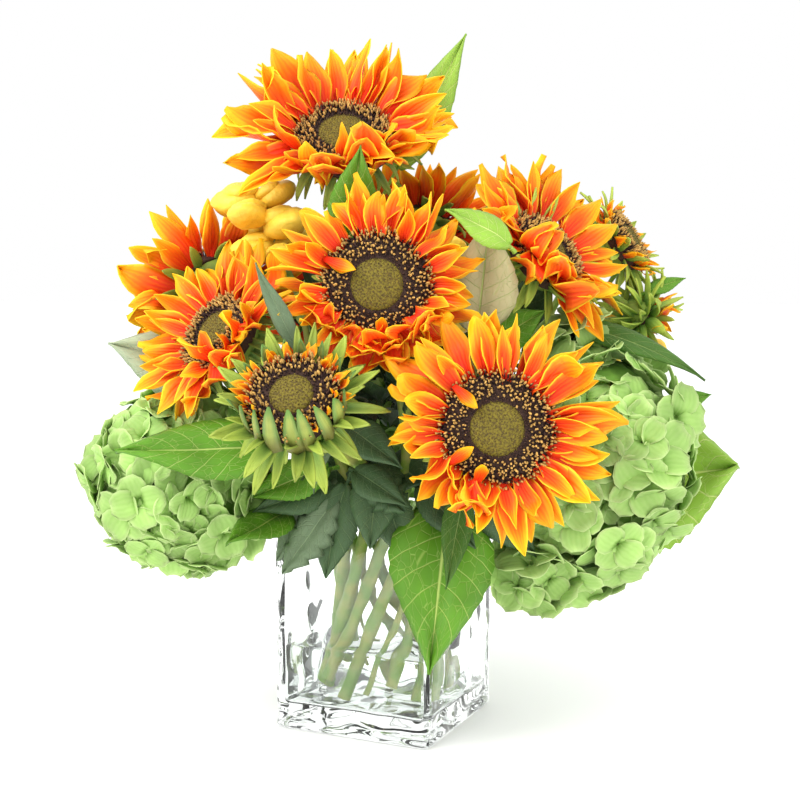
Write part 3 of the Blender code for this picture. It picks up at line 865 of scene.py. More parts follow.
# %% [markdown]
# The petals stand in three rows round the disc. The back row is the longest and lies
# the flattest. The rows in front are shorter and stand up more, and each fills the gaps
# of the row behind it. Each flower has its own habit: on the side that faces the front
# and the ground, some flowers fold their petals up over the disc, and a few lone petals
# lie across it. Every angle and size is diced within limits, from a seed of its own.

# %% Sunflower petals
PETAL_ROWS = (
    # count, length, extra cup in degrees, height of the foot
    (22, 1.08, -7, -0.0040),
    (20, 1.00, 4, -0.0025),
    (18, 0.86, 17, -0.0008),
)
FULL_DISC = 0.031
PETAL_FOOT = 0.84
PETAL_RUFFLE = 0.085
LONE_FOOT, LONE_HEIGHT = 1.06, 0.0065
STEEP_FOLD = 30
Habit = namedtuple("Habit", "towards fold spread share lift back_share ruffles")
HABITS = {
    # The way the folded side faces in the bouquet's frame, its fold and half width in
    # degrees, the share of a petal's length there, how much the petals opposite lift and
    # how long they are, and the number of ruffled petals added on the folded side.
    "sunflower_top": Habit((0.35, -1, -0.6), 58, 48, 0.80, 22, 1.16, 3),
    "sunflower_centre": Habit((0, -1, -0.7), 56, 66, 0.70, 10, 1.05, 14),
    "sunflower_low_right": Habit((-0.8, -0.5, -0.6), 30, 50, 0.72, 4, 1.0, 3),
    "sunflower_left": Habit((0.7, -0.7, -0.6), 52, 50, 0.85, 6, 1.25, 1),
    "sunflower_right": Habit((-0.55, -0.8, -0.5), 62, 46, 0.95, 8, 1.20, 2),
    "sunflower_left_back": Habit((0, -1, -0.7), 10, 60, 0.95, 0, 1.10, 0),
    "sunflower_half_open": Habit((0, -1, -0.7), 84, 85, 0.72, 0, 0.9, 0),
}
LONE_PETALS = {
    # Petals that lie over a disc: the side they grow on, their cup, length and curl.
    "sunflower_centre": (((-0.9, 0, 0.45), 146, 0.66, 0.2), ((0.10, -1, -0.6), 138, 0.56, -0.4)),
    "sunflower_low_right": (((-0.7, 0, 0.7), 138, 0.50, 0.3), ((-0.7, 0, -0.5), 142, 0.48, 0.2),
                            ((-0.35, 0, -0.9), 135, 0.50, -0.3)),
}
PLAIN_HABIT = Habit((0, -1, -0.7), 10, 60, 0.95, 0, 1.0, 0)


def blade_matrix(head, angle, radius, height, cup, roll, length, width):
    """Places a blade of unit length with its foot on a circle about the head's axis."""
    out = Vector((math.cos(angle), math.sin(angle), 0))
    along = math.cos(cup) * out + math.sin(cup) * Vector((0, 0, 1))
    across = Vector((0, 0, 1)).cross(out) * -1
    up = across.cross(along)
    turn = Matrix((across, along, up)).transposed()
    turn = turn @ Matrix.Rotation(roll, 3, "Y")
    size = Matrix.Diagonal((length * width, length, length))
    place = Matrix.Translation(radius * out + Vector((0, 0, height)))
    return head["place"] @ place @ (turn @ size).to_4x4()


def folded_angle(head, towards):
    """The angle about the head's axis that points towards its folded side."""
    local = head["place"].to_3x3().inverted() @ TO_ROW @ Vector(towards)
    return math.atan2(local.y, local.x)


def foldedness(angle, front, spread):
    """1 on the folded side of a flower, falling to 0 at the edge of its spread."""
    away = abs((angle - front + math.pi) % (2 * math.pi) - math.pi)
    return smoothed(1.35 - away / spread)


def ruffled_petals(head, habit, full, front, dice):
    """Short wavy petals that crowd on the folded side."""
    places = []
    for _ in range(habit.ruffles):
        angle = front + math.radians(habit.spread) * dice.uniform(-0.9, 0.9)
        cup = head["cup"] + math.radians(habit.fold + dice.uniform(-25, 25))
        matrix = blade_matrix(head, angle, head["disc"] * dice.uniform(0.84, 0.98),
                              dice.uniform(-0.002, 0.001), cup, diced_angle(dice, 30),
                              full * dice.uniform(0.55, 0.80), dice.uniform(1.4, 1.9))
        places.append((RUFFLED, matrix, dice.uniform(-0.10, 0.12), dice.uniform(-1.0, 0.4),
                       dice.uniform(-1.0, 1.0)))
    return places


def make_petals(head):
    dice = random.Random(head["name"])
    habit = HABITS.get(head["name"], PLAIN_HABIT)
    front = folded_angle(head, habit.towards)
    full = head["length"] + (1 - PETAL_FOOT) * head["disc"]
    places = ruffled_petals(head, habit, full, front, dice)
    for towards, cup, share, curl in LONE_PETALS.get(head["name"], ()):
        matrix = blade_matrix(head, folded_angle(head, towards), LONE_FOOT * head["disc"],
                              LONE_HEIGHT, math.radians(cup), 0, full * share, 1.05)
        places.append((0, matrix, 0, curl, 0))
    for row, (count, share, lift, height) in enumerate(PETAL_ROWS):
        count = round(count * head["disc"] / FULL_DISC)
        for i in range(count):
            angle = 2 * math.pi * (i + 0.5 * row + dice.uniform(-0.38, 0.38)) / count
            folded = foldedness(angle, front, math.radians(habit.spread))
            behind = (1 - math.cos(angle - front)) / 2
            cup = head["cup"] + math.radians(lift + habit.lift * behind + dice.uniform(-13, 13))
            cup += math.radians(habit.fold) * folded * dice.uniform(0.6, 1.15)
            length = full * share * dice.uniform(0.84, 1.08)
            length *= (1 + (habit.share - 1) * folded) * (1 + (habit.back_share - 1) * behind)
            matrix = blade_matrix(head, angle, PETAL_FOOT * head["disc"], height, cup,
                                  diced_angle(dice, 38), length,
                                  dice.uniform(0.78, 1.10) * (1 + 0.30 * folded))
            kind = dice.randrange(RUFFLED)
            steep = habit.ruffles and folded * habit.fold > STEEP_FOLD
            if steep and dice.random() < 0.5:
                kind = RUFFLED
            curls = (-1.5, -0.5) if steep and dice.random() < 0.3 else (-0.7, 1.05)
            curl = dice.uniform(*curls)
            places.append((kind, matrix, dice.uniform(-0.12, 0.12), curl, dice.uniform(-1.1, 1.1)))
    piece = copies(head["name"] + ".petals", PETALS, places, PETAL_RUFFLE)
    dress(piece, PETAL_FINISH, "sunflower_petals", head["name"] + "_petals")


for head in HEADS:
    make_petals(head)

# %% [markdown]
# The seed disc is packed with tiny tubes on a golden-angle spiral, as on a real
# sunflower. The outer ones are tan flakes among dark ones, then comes a dark ring, and
# the middle is a low olive dome with a fuzz of tiny tubes. Each kind is modelled once
# and copied along the spiral.

# %% Disc florets
GOLDEN_ANGLE = math.radians(137.5)
FLORETS_PER_DISC = 1100
OLIVE_SHARE = 0.48
DARK_SHARE = 0.54


def tube_shape(name, profile, sides):
    """A small closed tube one unit tall: a cone with its rings resized."""
    deselect_all()
    bpy.ops.mesh.primitive_circle_add(vertices=sides, radius=profile[0][0], fill_type="NGON",
                                      location=(0, 0, 0), calc_uvs=True)
    tube = bpy.context.object
    tube.name = name
    bpy.ops.object.mode_set(mode="EDIT")
    bpy.ops.mesh.select_all(action="SELECT")
    for (radius, height), (wider, higher) in zip(profile, profile[1:]):
        bpy.ops.mesh.extrude_region_move(TRANSFORM_OT_translate={"value": (0, 0, higher - height)})
        bpy.ops.transform.resize(value=(wider / radius, wider / radius, 1),
                                 center_override=(0, 0, higher))
    bpy.ops.mesh.select_all(action="SELECT")
    bpy.ops.mesh.normals_make_consistent(inside=False)
    bpy.ops.object.mode_set(mode="OBJECT")
    for corner in tube.data.loops:
        height = tube.data.vertices[corner.vertex_index].co.z
        tube.data.uv_layers[0].uv[corner.index].vector = (0.5, height)
    return put_away(tube)


TAN, DARK, OLIVE, DOME = range(4)
DISC_TUBES = [
    tube_shape("floret_tan", ((0.13, 0), (0.15, 0.45), (0.26, 0.75), (0.10, 1.0)), 4),
    tube_shape("floret_dark", ((0.16, 0), (0.19, 0.5), (0.04, 1.0)), 4),
    tube_shape("floret_olive", ((0.20, 0), (0.20, 0.6), (0.08, 1.0)), 4),
    put_away(half_ball(32, 1)),
]
DOME_RISE = 0.0034


def disc_height(share):
    """The CAD disc's dome: low at its edge, level in the middle."""
    if share > 0.8:
        return 0.004 * (1 - share) / 0.2
    return 0.004 + 0.001 * min((0.8 - share) / 0.35, 1)


def make_disc_florets(head):
    dice = random.Random(head["name"] + "seeds")
    count = round(FLORETS_PER_DISC * (head["disc"] / FULL_DISC) ** 2)
    middle = head["disc"] * OLIVE_SHARE
    seat = Matrix.Translation((0, 0, disc_height(0.3) - 0.0004))
    dome = head["place"] @ seat @ Matrix.Diagonal((middle, middle, DOME_RISE, 1))
    places = [(DOME, dome, 0.0, 0, 0)]
    for i in range(count):
        share = math.sqrt((i + 0.5) / count)
        angle = i * GOLDEN_ANGLE
        foot_height = disc_height(share) - 0.0006
        if share < OLIVE_SHARE:
            kind, tall = OLIVE, 0.0010
            foot_height += DOME_RISE * math.sqrt(1 - (share / OLIVE_SHARE) ** 2)
        elif share < DARK_SHARE:
            kind, tall = DARK, 0.0030
        else:
            kind, tall = (TAN if dice.random() < 0.76 else DARK), 0.0050 * dice.uniform(0.7, 1.15)
        out = Vector((math.cos(angle), math.sin(angle), 0))
        foot = share * head["disc"] * 1.03 * out + Vector((0, 0, foot_height))
        lean = Vector((0, 0, 1)) + (share**3 * 0.55) * out
        lean += Vector((dice.uniform(-1, 1), dice.uniform(-1, 1), 0)) * 0.45
        turn = aim(lean) @ Matrix.Rotation(dice.uniform(0, math.pi), 4, "Z")
        thick = (0.0016 if kind == OLIVE else 0.0031) * dice.uniform(0.7, 1.25)
        size = Matrix.Diagonal((thick, thick * 0.75, tall, 1))
        matrix = head["place"] @ Matrix.Translation(foot) @ turn @ size
        places.append((kind, matrix, dice.uniform(-0.35, 0.35), 0, 0))
    piece = copies(head["name"] + ".florets", DISC_TUBES, places)
    piece.data.attributes.new("kind", "FLOAT", "POINT")
    kinds = np.concatenate([np.full(len(DISC_TUBES[place[0]].vertices), min(place[0], OLIVE) * 1.0)
                            for place in places])
    piece.data.attributes["kind"].data.foreach_set("value", kinds)
    dress(piece, TUBE_FINISH, "seed_discs")
    disc = NODES[head["name"] + "_seed_disc"]
    disc.data.materials.clear()
    disc.data.materials.append(DISC_FINISH)


for head in HEADS:
    make_disc_florets(head)

# %% [markdown]
# A stem's node is a tube with rings of eight points. Starting at its cut end, each next
# ring is made of the neighbours of the last one, until the tube widens into the flower.
# The middles of the rings give the line that a smooth round stem follows.

# %% Read a stem from the frame
RING_POINTS = 8


def stem_line(node, top):
    """The points along a stem from its cut end up, and its radius."""
    mesh = bmesh.new()
    mesh.from_mesh(NODES[node].data)
    bmesh.ops.remove_doubles(mesh, verts=mesh.verts, dist=1e-6)
    start = max(mesh.verts, key=lambda point: (point.co - top).length)
    ring = sorted(mesh.verts, key=lambda point: (point.co - start.co).length)[:RING_POINTS]
    seen, middles, radius = set(), [], None
    while len(ring) == RING_POINTS:
        middle = sum((point.co for point in ring), Vector()) / RING_POINTS
        size = sum((point.co - middle).length for point in ring) / RING_POINTS
        radius = radius or size
        if size > 1.35 * radius:
            break
        middles.append(middle)
        seen.update(ring)
        ring = list({edge.other_vert(point) for point in ring for edge in point.link_edges} - seen)
    mesh.free()
    return middles, radius


def eased_line(points, steps):
    """A rounded line through points, with steps new points in each stretch."""
    line = []
    for i in range(len(points) - 1):
        before = points[max(i - 1, 0)]
        start, end = points[i], points[i + 1]
        after = points[min(i + 2, len(points) - 1)]
        for step in range(steps):
            t = step / steps
            line.append(0.5 * ((2 * start) + (end - before) * t
                               + (2 * before - 5 * start + 4 * end - after) * t * t
                               + (3 * start - before - 3 * end + after) * t ** 3))
    line.append(points[-1])
    return line


def round_stem(name, points, radii, sides=3):
    """A round tube along points, made as a curve with thickness and turned into a mesh."""
    curve = bpy.data.curves.new(name, "CURVE")
    curve.dimensions = "3D"
    curve.bevel_depth = 1.0
    curve.bevel_resolution = sides
    curve.use_fill_caps = True
    line = curve.splines.new("POLY")
    line.points.add(len(points) - 1)
    for spot, point, radius in zip(line.points, points, radii):
        spot.co = (*point, 1)
        spot.radius = radius
    stem = in_scene(name, curve)
    work_on(stem)
    bpy.ops.object.convert(target="MESH")
    stem.data.shade_smooth()
    return stem


def joined(name, pieces):
    deselect_all()
    for piece in pieces:
        piece.select_set(True)
    bpy.context.view_layer.objects.active = pieces[0]
    bpy.ops.object.join()
    pieces[0].name = name
    return pieces[0]


def knotty_radii(count, radius, dice):
    """A stem thickens a little where leaves were cut from it."""
    knots = [dice.uniform(0.1, 0.9) for _ in range(3)]
    radii = []
    for i in range(count):
        near = min(abs(i / (count - 1) - knot) for knot in knots)
        radii.append(radius * (0.97 + 0.14 * math.exp(-(near / 0.02) ** 2)))
    return radii


# %% [markdown]
# Behind the petals sit the bracts: green pointed blades in rows round a bowl, which is
# where the stem widens. On an open flower they bend back, and on a budding one they
# bristle on all sides. On the half-open one the inner ones still stand round the disc.

# %% Stalks of the sunflowers
BOWL_DEPTH = 0.017
BRACT_ROWS = {
    # share of the frame's bract length, least length, cup in degrees, count, height of the
    # foot, and the foot's distance from the axis as a share of the disc's radius
    "open": ((1.0, 0.022, -4, 14, -0.006, 0.88), (0.9, 0.019, -28, 12, -0.011, 0.77),
             (0.0, 0.015, -52, 9, -0.015, 0.60), (0.0, 0.012, -70, 7, -0.018, 0.36)),
    "half_open": ((0.0, 0.021, 60, 12, -0.009, 1.00), (0.0, 0.025, 34, 11, -0.012, 0.96),
                  (0.0, 0.026, 4, 9, -0.014, 0.90), (0.0, 0.027, -42, 8, -0.017, 0.76),
                  (0.0, 0.024, -74, 6, -0.019, 0.60)),
    "bud": ((0.0, 0.020, 48, 13, -0.003, 0.95), (0.0, 0.024, 14, 12, -0.006, 0.88),
            (0.0, 0.024, -20, 11, -0.009, 0.78), (0.0, 0.020, -52, 8, -0.012, 0.60)),
}
BUDDING = ("sunflower_far_right", "sunflower_small_right", "sunflower_right")
CROWN_COUNT = 17
CROWN_SPREAD = math.radians(80)
CROWN_HEIGHT = -0.008


def bract_shape(name, width, droop):
    blade = shape_blade(name, (0, 0.5, 1.0), 6,
                        lambda s: width * max((1 - s) ** 0.75 * (0.75 + 1.1 * s), 0.03),
                        lambda s: droop * s * s, lambda s: 0.09 * (1 - s * 0.7), 0.045)
    return put_away(blade)


BRACTS = [bract_shape("bract_wide", 0.165, -0.10), bract_shape("bract_slim", 0.125, -0.25),
          bract_shape("bract_curled", 0.15, 0.15)]


def bract_rows(flower):
    if flower == "sunflower_half_open":
        return BRACT_ROWS["half_open"]
    return BRACT_ROWS["bud" if flower in BUDDING else "open"]


def make_crown(head):
    """One row of bracts that stand up round the half-open flower. On the side that faces
    the ground they lean in over its disc."""
    dice = random.Random("crown")
    front = folded_angle(head, HABITS[head["name"]].towards)
    places = []
    for i in range(CROWN_COUNT):
        angle = 2 * math.pi * (i + dice.uniform(-0.2, 0.2)) / CROWN_COUNT
        lean = foldedness(angle, front, CROWN_SPREAD)
        cup = math.radians(76 + 20 * lean + dice.uniform(-6, 6))
        matrix = blade_matrix(head, angle, (1.10 + 0.08 * lean) * head["disc"], CROWN_HEIGHT,
                              cup, diced_angle(dice, 8),
                              dice.uniform(0.015, 0.018) * (1 + 0.80 * lean),
                              dice.uniform(1.05, 1.40))
        curl = 0.1 + 0.70 * lean + dice.uniform(-0.1, 0.1)
        places.append((dice.randrange(2), matrix, dice.uniform(-0.15, 0.15), curl, 0))
    crown = copies(head["name"] + ".crown", BRACTS, places)
    dress(crown, CROWN_FINISH, "stems")


def make_bowl(head):
    """The green bowl behind a head: half a ball, flattened."""
    bowl = half_ball(24, -1)
    size = Matrix.Diagonal((head["disc"] * 0.96, head["disc"] * 0.96, BOWL_DEPTH, 1))
    bowl.data.transform(head["place"] @ Matrix.Translation((0, 0, -0.003)) @ size)
    bowl.data.shade_smooth()
    return bowl


def make_stalk(head):
    dice = random.Random(head["name"] + "stalk")
    node = head["name"] + "_stem"
    middles, radius = stem_line(node, head["centre"])
    line = eased_line(middles + [head["centre"] - 0.010 * head["facing"]], 6)
    stem = round_stem("stem", line, knotty_radii(len(line), radius, dice))
    reach, height = about_axis(node_points(node), head["centre"], head["facing"])
    near = height > -0.035
    far = reach[near].max()
    frame_length = far - 0.85 * head["disc"]
    frame_cup = math.atan2(height[near][reach[near].argmax()] + 0.008, frame_length)
    places = []
    for row, (share, least, lift, count, foot, radial) in enumerate(bract_rows(head["name"])):
        cup_row = math.radians(lift) + (frame_cup if share else 0)
        for i in range(count):
            angle = 2 * math.pi * (i + 0.5 * row + dice.uniform(-0.15, 0.15)) / count
            length = max(frame_length * share, least) * dice.uniform(0.88, 1.10)
            cup = cup_row + diced_angle(dice, 10)
            matrix = blade_matrix(head, angle, radial * head["disc"], foot, cup,
                                  diced_angle(dice, 18), length,
                                  dice.uniform(0.9, 1.25))
            tone = 0.22 if head["name"] in BUDDING else 0.07 * row - 0.14
            places.append((dice.randrange(3), matrix, tone + dice.uniform(-0.18, 0.18),
                           dice.uniform(-0.9, 0.2), dice.uniform(-0.3, 0.3)))
    bracts = copies(head["name"] + ".bracts", BRACTS, places)
    dress(joined(head["name"] + ".bracts", [bracts, make_bowl(head)]), BRACT_FINISH, "stems")
    if head["name"] == "sunflower_half_open":
        make_crown(head)
    stem.name = head["name"] + ".stalk"
    dress(stem, STEM_FINISH, "stems", node)


for head in HEADS:
    make_stalk(head)

# %% [markdown]
# A head of hydrangea is a ball of small four-petalled florets. One floret is modelled
# from a rounded petal that is copied four times. The florets then spread evenly over
# the frame's head, each facing outwards with a tilt of its own and sunk a little, and
# a darker ball inside closes the gaps. Two small tufts spill out of the right head.

# %% Hydrangea heads
FLORET_SIZE = 0.0165
FLORETS_PER_HEAD = 155
CORE_SHARE = 0.84
HYDRANGEAS = ("hydrangea_left", "hydrangea_right", "hydrangea_back")
TUFTS = {
    # Small bunches that spill out of a head: each has its middle in the bouquet's frame,
    # its radius and its number of florets.
    "hydrangea_right": (((0.114, -0.026, 0.236), 0.018, 15), ((0.090, -0.055, 0.104), 0.014, 11)),
}


def rounded_petal(name, width, lift):
    return shape_blade(name, (0, 0.03, 0.10), 4,
                       lambda s: width * max(math.sin(math.pi * (0.10 + 0.84 * s)) ** 0.50, 0.10),
                       lambda s: lift * s * (1.35 - s) + 0.03 * math.sin(7 * s),
                       lambda s: 1.0, 0.025)


def floret_shape(name, width, lift, swing):
    """Four petals round a middle, two of them a little lower."""
    petals = []
    for quarter in range(4):
        petal = rounded_petal(name, width, lift + (0.08 if quarter % 2 else 0.0))
        work_on(petal)
        bpy.ops.object.mode_set(mode="EDIT")
        bpy.ops.mesh.select_all(action="SELECT")
        bpy.ops.transform.translate(value=(0, 0.04, 0.03 * (quarter % 2)))
        bpy.ops.object.mode_set(mode="OBJECT")
        petal.data.transform(Matrix.Rotation(math.pi / 2 * quarter + swing * (quarter % 2), 4, "Z"))
        petals.append(petal)
    return put_away(joined(name, petals))


FLORETS = [floret_shape("floret_open", 0.60, 0.30, 0.0),
           floret_shape("floret_flat", 0.57, -0.20, 0.25),
           floret_shape("floret_cupped", 0.58, 0.65, -0.2)]
print("one floret has", len(FLORETS[0].polygons), "faces")


def spread_directions(count):
    """Directions spread evenly over a ball, on a spiral from its top to its bottom."""
    for i in range(count):
        height = 1 - 2 * (i + 0.5) / count
        across, angle = math.sqrt(1 - height * height), i * GOLDEN_ANGLE
        yield Vector((across * math.cos(angle), across * math.sin(angle), height))


def shaken(direction, amount, dice):
    return direction + amount * Vector([dice.uniform(-1, 1) for _ in range(3)])


def floret_place(point, face, dice):
    spin = Matrix.Rotation(dice.uniform(0, 2 * math.pi), 4, "Z")
    size = FLORET_SIZE * dice.uniform(0.80, 1.20)
    matrix = Matrix.Translation(point) @ aim(face) @ spin @ Matrix.Diagonal((size, size, size, 1))
    return dice.randrange(3), matrix, dice.uniform(-0.18, 0.14), 0, 0


def make_hydrangea(flower):
    dice = random.Random(flower)
    head = NODES[flower + "_head"]
    low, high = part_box(flower + "_head")
    centre = (low + high) / 2
    places = []
    for direction in spread_directions(FLORETS_PER_HEAD):
        direction = shaken(direction, 0.08, dice).normalized()
        struck, point, normal, _ = head.ray_cast(centre, direction)
        if not struck:
            continue
        face = shaken(normal + 0.6 * direction, 0.85, dice)
        places.append(floret_place(point - direction * dice.uniform(0.002, 0.015), face, dice))
    for middle, radius, count in TUFTS.get(flower, ()):
        for direction in spread_directions(count):
            face = shaken(direction, 0.5, dice)
            places.append(floret_place(TO_ROW @ Vector(middle) + radius * direction, face, dice))
    florets = copies(flower + ".florets", FLORETS, places)
    dress(florets, FLORET_FINISH, "hydrangea_florets", flower + "_head")
    core = in_scene(flower + ".core", head.data.copy())
    work_on(core)
    bpy.ops.object.mode_set(mode="EDIT")
    bpy.ops.mesh.select_all(action="SELECT")
    bpy.ops.mesh.remove_doubles(threshold=1e-6)
    bpy.ops.transform.resize(value=[CORE_SHARE] * 3, center_override=centre)
    bpy.ops.object.mode_set(mode="OBJECT")
    dress(core, CORE_FINISH, "hydrangea_florets", flower + "_head")
    middles, radius = stem_line(flower + "_stem", centre)
    line = eased_line(middles, 6)
    stem = round_stem(flower + ".stalk", line, knotty_radii(len(line), radius, dice))
    dress(stem, STEM_FINISH, "stems", flower + "_stem")


for flower in HYDRANGEAS:
    make_hydrangea(flower)

# %% [markdown]
# A slipper flower is a puffed pouch with a small lip on top, so it takes two flattened
# spheres and a few wrinkles. Each spray carries a few pouches on thin stalks from its
# stem.

# %% Slipper flowers
POUCH_SIZE = (0.0155, 0.0128, 0.0112)
SPRAY_POUCHES = {"slipper_flowers_left": 8, "slipper_flowers_centre": 5,
                 "slipper_flowers_right": 5}
SPRAY_HEIGHT = 0.044
SPRAY_REACH = 0.0125


def lobe(place, size):
    made = ball(24, 14)
    made.data.transform(Matrix.Translation(place) @ Matrix.Diagonal((*size, 1)))
    return made


def pouch_shape():
    """A big lower lobe and a small lip on it, wrinkled a little."""
    pouch = joined("pouch", [lobe((0.10, 0, -0.14), (0.98, 0.86, 0.72)),
                             lobe((-0.16, 0, 0.42), (0.70, 0.74, 0.44))])
    wrinkles = bpy.data.textures.new("wrinkles", "CLOUDS")
    wrinkles.noise_scale = 0.55
    apply_modifier(pouch, "DISPLACE", texture=wrinkles, strength=0.26, mid_level=0.5,
                   texture_coords="LOCAL")
    return put_away(pouch)


POUCH = pouch_shape()


def make_spray(flower, count):
    dice = random.Random(flower)
    points = node_points(flower)
    middles, radius = stem_line(flower, Vector(points.mean(axis=0)))
    line = eased_line(middles, 6)
    off_stem = [min((Vector(p) - m).length for m in line) > 2.5 * radius for p in points]
    centre = Vector(points[off_stem].mean(axis=0))
    facing = (centre - middles[-1]).normalized()
    place = Matrix.Translation(centre) @ aim(facing)
    places, stalks = [], []
    for i in range(count):
        angle = i * GOLDEN_ANGLE
        height = (i / (count - 1) - 0.5) * SPRAY_HEIGHT
        out = Vector((math.cos(angle), math.sin(angle), 0))
        spot = SPRAY_REACH * out + Vector((0, 0, height))
        heading = out + Vector((0, 0, dice.uniform(-0.3, 0.5)))
        turn = aim(heading, "X", "Z")
        grown = dice.uniform(0.85, 1.12)
        size = Matrix.Diagonal((*(grown * s for s in POUCH_SIZE), 1))
        matrix = place @ Matrix.Translation(spot) @ turn @ size
        places.append((0, matrix, dice.uniform(-0.15, 0.1), 0, 0))
        foot, end = place @ Vector((0, 0, height - 0.012)), place @ spot
        bow = foot.lerp(end, 0.5) + Vector((0, 0, 0.001))
        stalks.append(round_stem("stalk", [foot, bow, end], [0.0009, 0.0008, 0.0012], 1))
    pouches = copies(flower + ".pouches", [POUCH], places)
    dress(pouches, POUCH_FINISH, "slipper_flowers", flower)
    line = eased_line(middles + [centre], 5)
    stem = round_stem("stem", line, [radius] * len(line), 2)
    dress(joined(flower + ".stalk", [stem] + stalks), STEM_FINISH, "stems", flower)


for flower, count in SPRAY_POUCHES.items():
    make_spray(flower, count)

# %% [markdown]
# A leaf's node is a chain of six diamond rings from the stem to the tip. The widest one
# gives the blade's width and the way it faces, and the offset of its middle from the
# straight line gives its arch. A finer blade with veins, teeth or lobes is then laid
# along the same arch.

# %% Read a leaf from the frame
LEAF_RINGS = 6


def read_leaf(node):
    mesh = bmesh.new()
    mesh.from_mesh(NODES[node].data)
    bmesh.ops.remove_doubles(mesh, verts=mesh.verts, dist=1e-6)
    points = [point.co.copy() for point in mesh.verts]
    mesh.free()
    first = max(points, key=lambda p: max((p - q).length for q in points))
    last = max(points, key=lambda p: (p - first).length)
    ends = []
    for end in (first, last):
        near = sorted(points, key=lambda p: (p - end).length)[:4]
        middle = sum(near, Vector()) / 4
        ends.append((max((p - middle).length for p in near), middle))
    ends.sort(key=lambda entry: -entry[0])
    base, tip = ends[0][1], ends[1][1]
    chord = tip - base
    points.sort(key=lambda p: (p - base).dot(chord))
    rings = [points[4 * i:4 * i + 4] for i in range(LEAF_RINGS)]
    widest = rings[3]
    left, right = max(((p, q) for p in widest for q in widest),
                      key=lambda pair: (pair[0] - pair[1]).length)
    middle = sum(widest, Vector()) / 4
    share = (middle - base).dot(chord) / chord.length_squared
    arch = (middle - base - share * chord) / (4 * share * (1 - share))
    petiole = (sum(rings[1], Vector()) / 4 - base).dot(chord) / chord.length_squared
    across = (right - left).normalized()
    outward = Vector((middle.x, middle.y, 0)).normalized() + Vector((0, 0, 0.8))
    if across.cross(chord.normalized()).dot(outward) < 0:
        across = -across
    return {"base": base, "chord": chord, "arch": arch, "across": across,
            "half_width": (right - left).length / 2, "petiole": petiole}


def leaf_middle(leaf, share):
    return leaf["base"] + share * leaf["chord"] + 4 * share * (1 - share) * leaf["arch"]


# %% [markdown]
# Three leaf shapes cover the bouquet. The smooth one is pointed, with edges that hardly
# show their teeth. The toothed one is broader, with larger teeth. The lobed one is the
# grey-green leaf of the rim. Each blade dips at its midrib, rises on both sides of it
# and droops at its edges.

# %% Leaf shapes
LEAF_ROWS = 28
LEAF_SECTION = (0.0, 0.14, 0.20, 0.20, 0.13)
LEAF_DROOP = 0.15


def leaf_edge(share, widest, foot, point):
    if share < widest:
        return foot + (1 - foot) * math.sin(share / widest * math.pi / 2) ** 0.8
    return max(math.cos((share - widest) / (1 - widest) * math.pi / 2) ** point, 0.02)


def toothed(share, count, depth):
    return 1 - depth * ((share * count) % 1.0)


def leaf_shape(name, edge, teeth, section, wave):
    blade = shape_blade(name, section, LEAF_ROWS,
                        lambda s: leaf_edge(s, *edge) * toothed(s, *teeth),
                        lambda s: wave * math.sin(9 * s), lambda s: 1.0, 0.022)
    return put_away(blade)


LEAVES = {
    "smooth": leaf_shape("leaf_smooth", (0.34, 0.25, 1.25), (9, 0.06), LEAF_SECTION, 0.05),
    "toothed": leaf_shape("leaf_toothed", (0.40, 0.20, 1.05), (14, 0.10), LEAF_SECTION, 0.04),
    "lobed": leaf_shape("leaf_lobed", (0.45, 0.25, 0.9), (5.5, 0.32),
                        (0.0, 0.10, 0.16, 0.10, -0.05), 0.07),
}


def lay_blade(name, pattern, leaf):
    """Lays a unit blade along a leaf's arch and bends its sides down a little."""
    blade = in_scene(name, pattern.copy())
    half = leaf["half_width"]
    for point in blade.data.vertices:
        x, y, z = point.co
        along = min(max(y, 0), 1)
        share = leaf["petiole"] + (1 - leaf["petiole"]) * along
        middle = leaf_middle(leaf, share) + leaf["chord"].normalized() * (y - along) * half
        onward = leaf_middle(leaf, min(share + 0.01, 1.0)) - leaf_middle(leaf, share - 0.01)
        up = leaf["across"].cross(onward.normalized())
        point.co = middle + half * (x * leaf["across"] + (z - LEAF_DROOP * x * x) * up)
    blade.data.update()
    blade.data.shade_smooth()
    return blade


def turned_leaf(leaf, facing, wider):
    """The same leaf made wider and, if a facing in the bouquet's frame is given, turned
    about its own length towards it."""
    across = leaf["chord"].cross(TO_ROW @ Vector(facing)).normalized() if facing else leaf["across"]
    return {**leaf, "across": across, "half_width": wider * leaf["half_width"]}


def make_leaf(name, kind, leaf, look, *nodes):
    blade = lay_blade(name, LEAVES[kind], leaf)
    ends = [leaf_middle(leaf, leaf["petiole"] * t) for t in (0, 0.25, 0.5, 0.75, 1.0)]
    stalk = round_stem("petiole", ends + [leaf_middle(leaf, leaf["petiole"] + 0.05)],
                       [0.0016, 0.0014, 0.0013, 0.0012, 0.0012, 0.0006], 1)
    dress(joined(name, [blade, stalk]), *LEAF_FINISHES[look], *nodes)


LEAF_KINDS = {
    "leaf_right_broad": "toothed", "leaf_back_left": "toothed", "leaf_back_right": "toothed",
    "leaf_rim_left": "lobed", "leaf_grey_front": "lobed",
}
LEAF_TURNS = {
    # the way the blade faces in the bouquet's frame, and its share of the width
    "leaf_left_upper": ((-0.3, -0.9, 0.4), 1.80), "leaf_below_top": (None, 1.80),
    "leaf_right_broad": (None, 1.55), "leaf_folded": (None, 1.55),
    "leaf_right_slim": ((0.1, -0.8, 0.6), 1.10), "leaf_top": ((-0.3, -1, 0), 1.60),
    "leaf_left_low": ((-0.2, -0.9, 0.5), 1.50),
}
LEAF_LOOKS = {
    "leaf_rim_left": "sage", "leaf_grey_front": "grey", "leaf_left_upper": "pale",
    "leaf_folded": "tan", "leaf_right_broad": "bright", "leaf_top": "bright",
    "leaf_front_small": "dark", "leaf_right_slim": "dark",
}
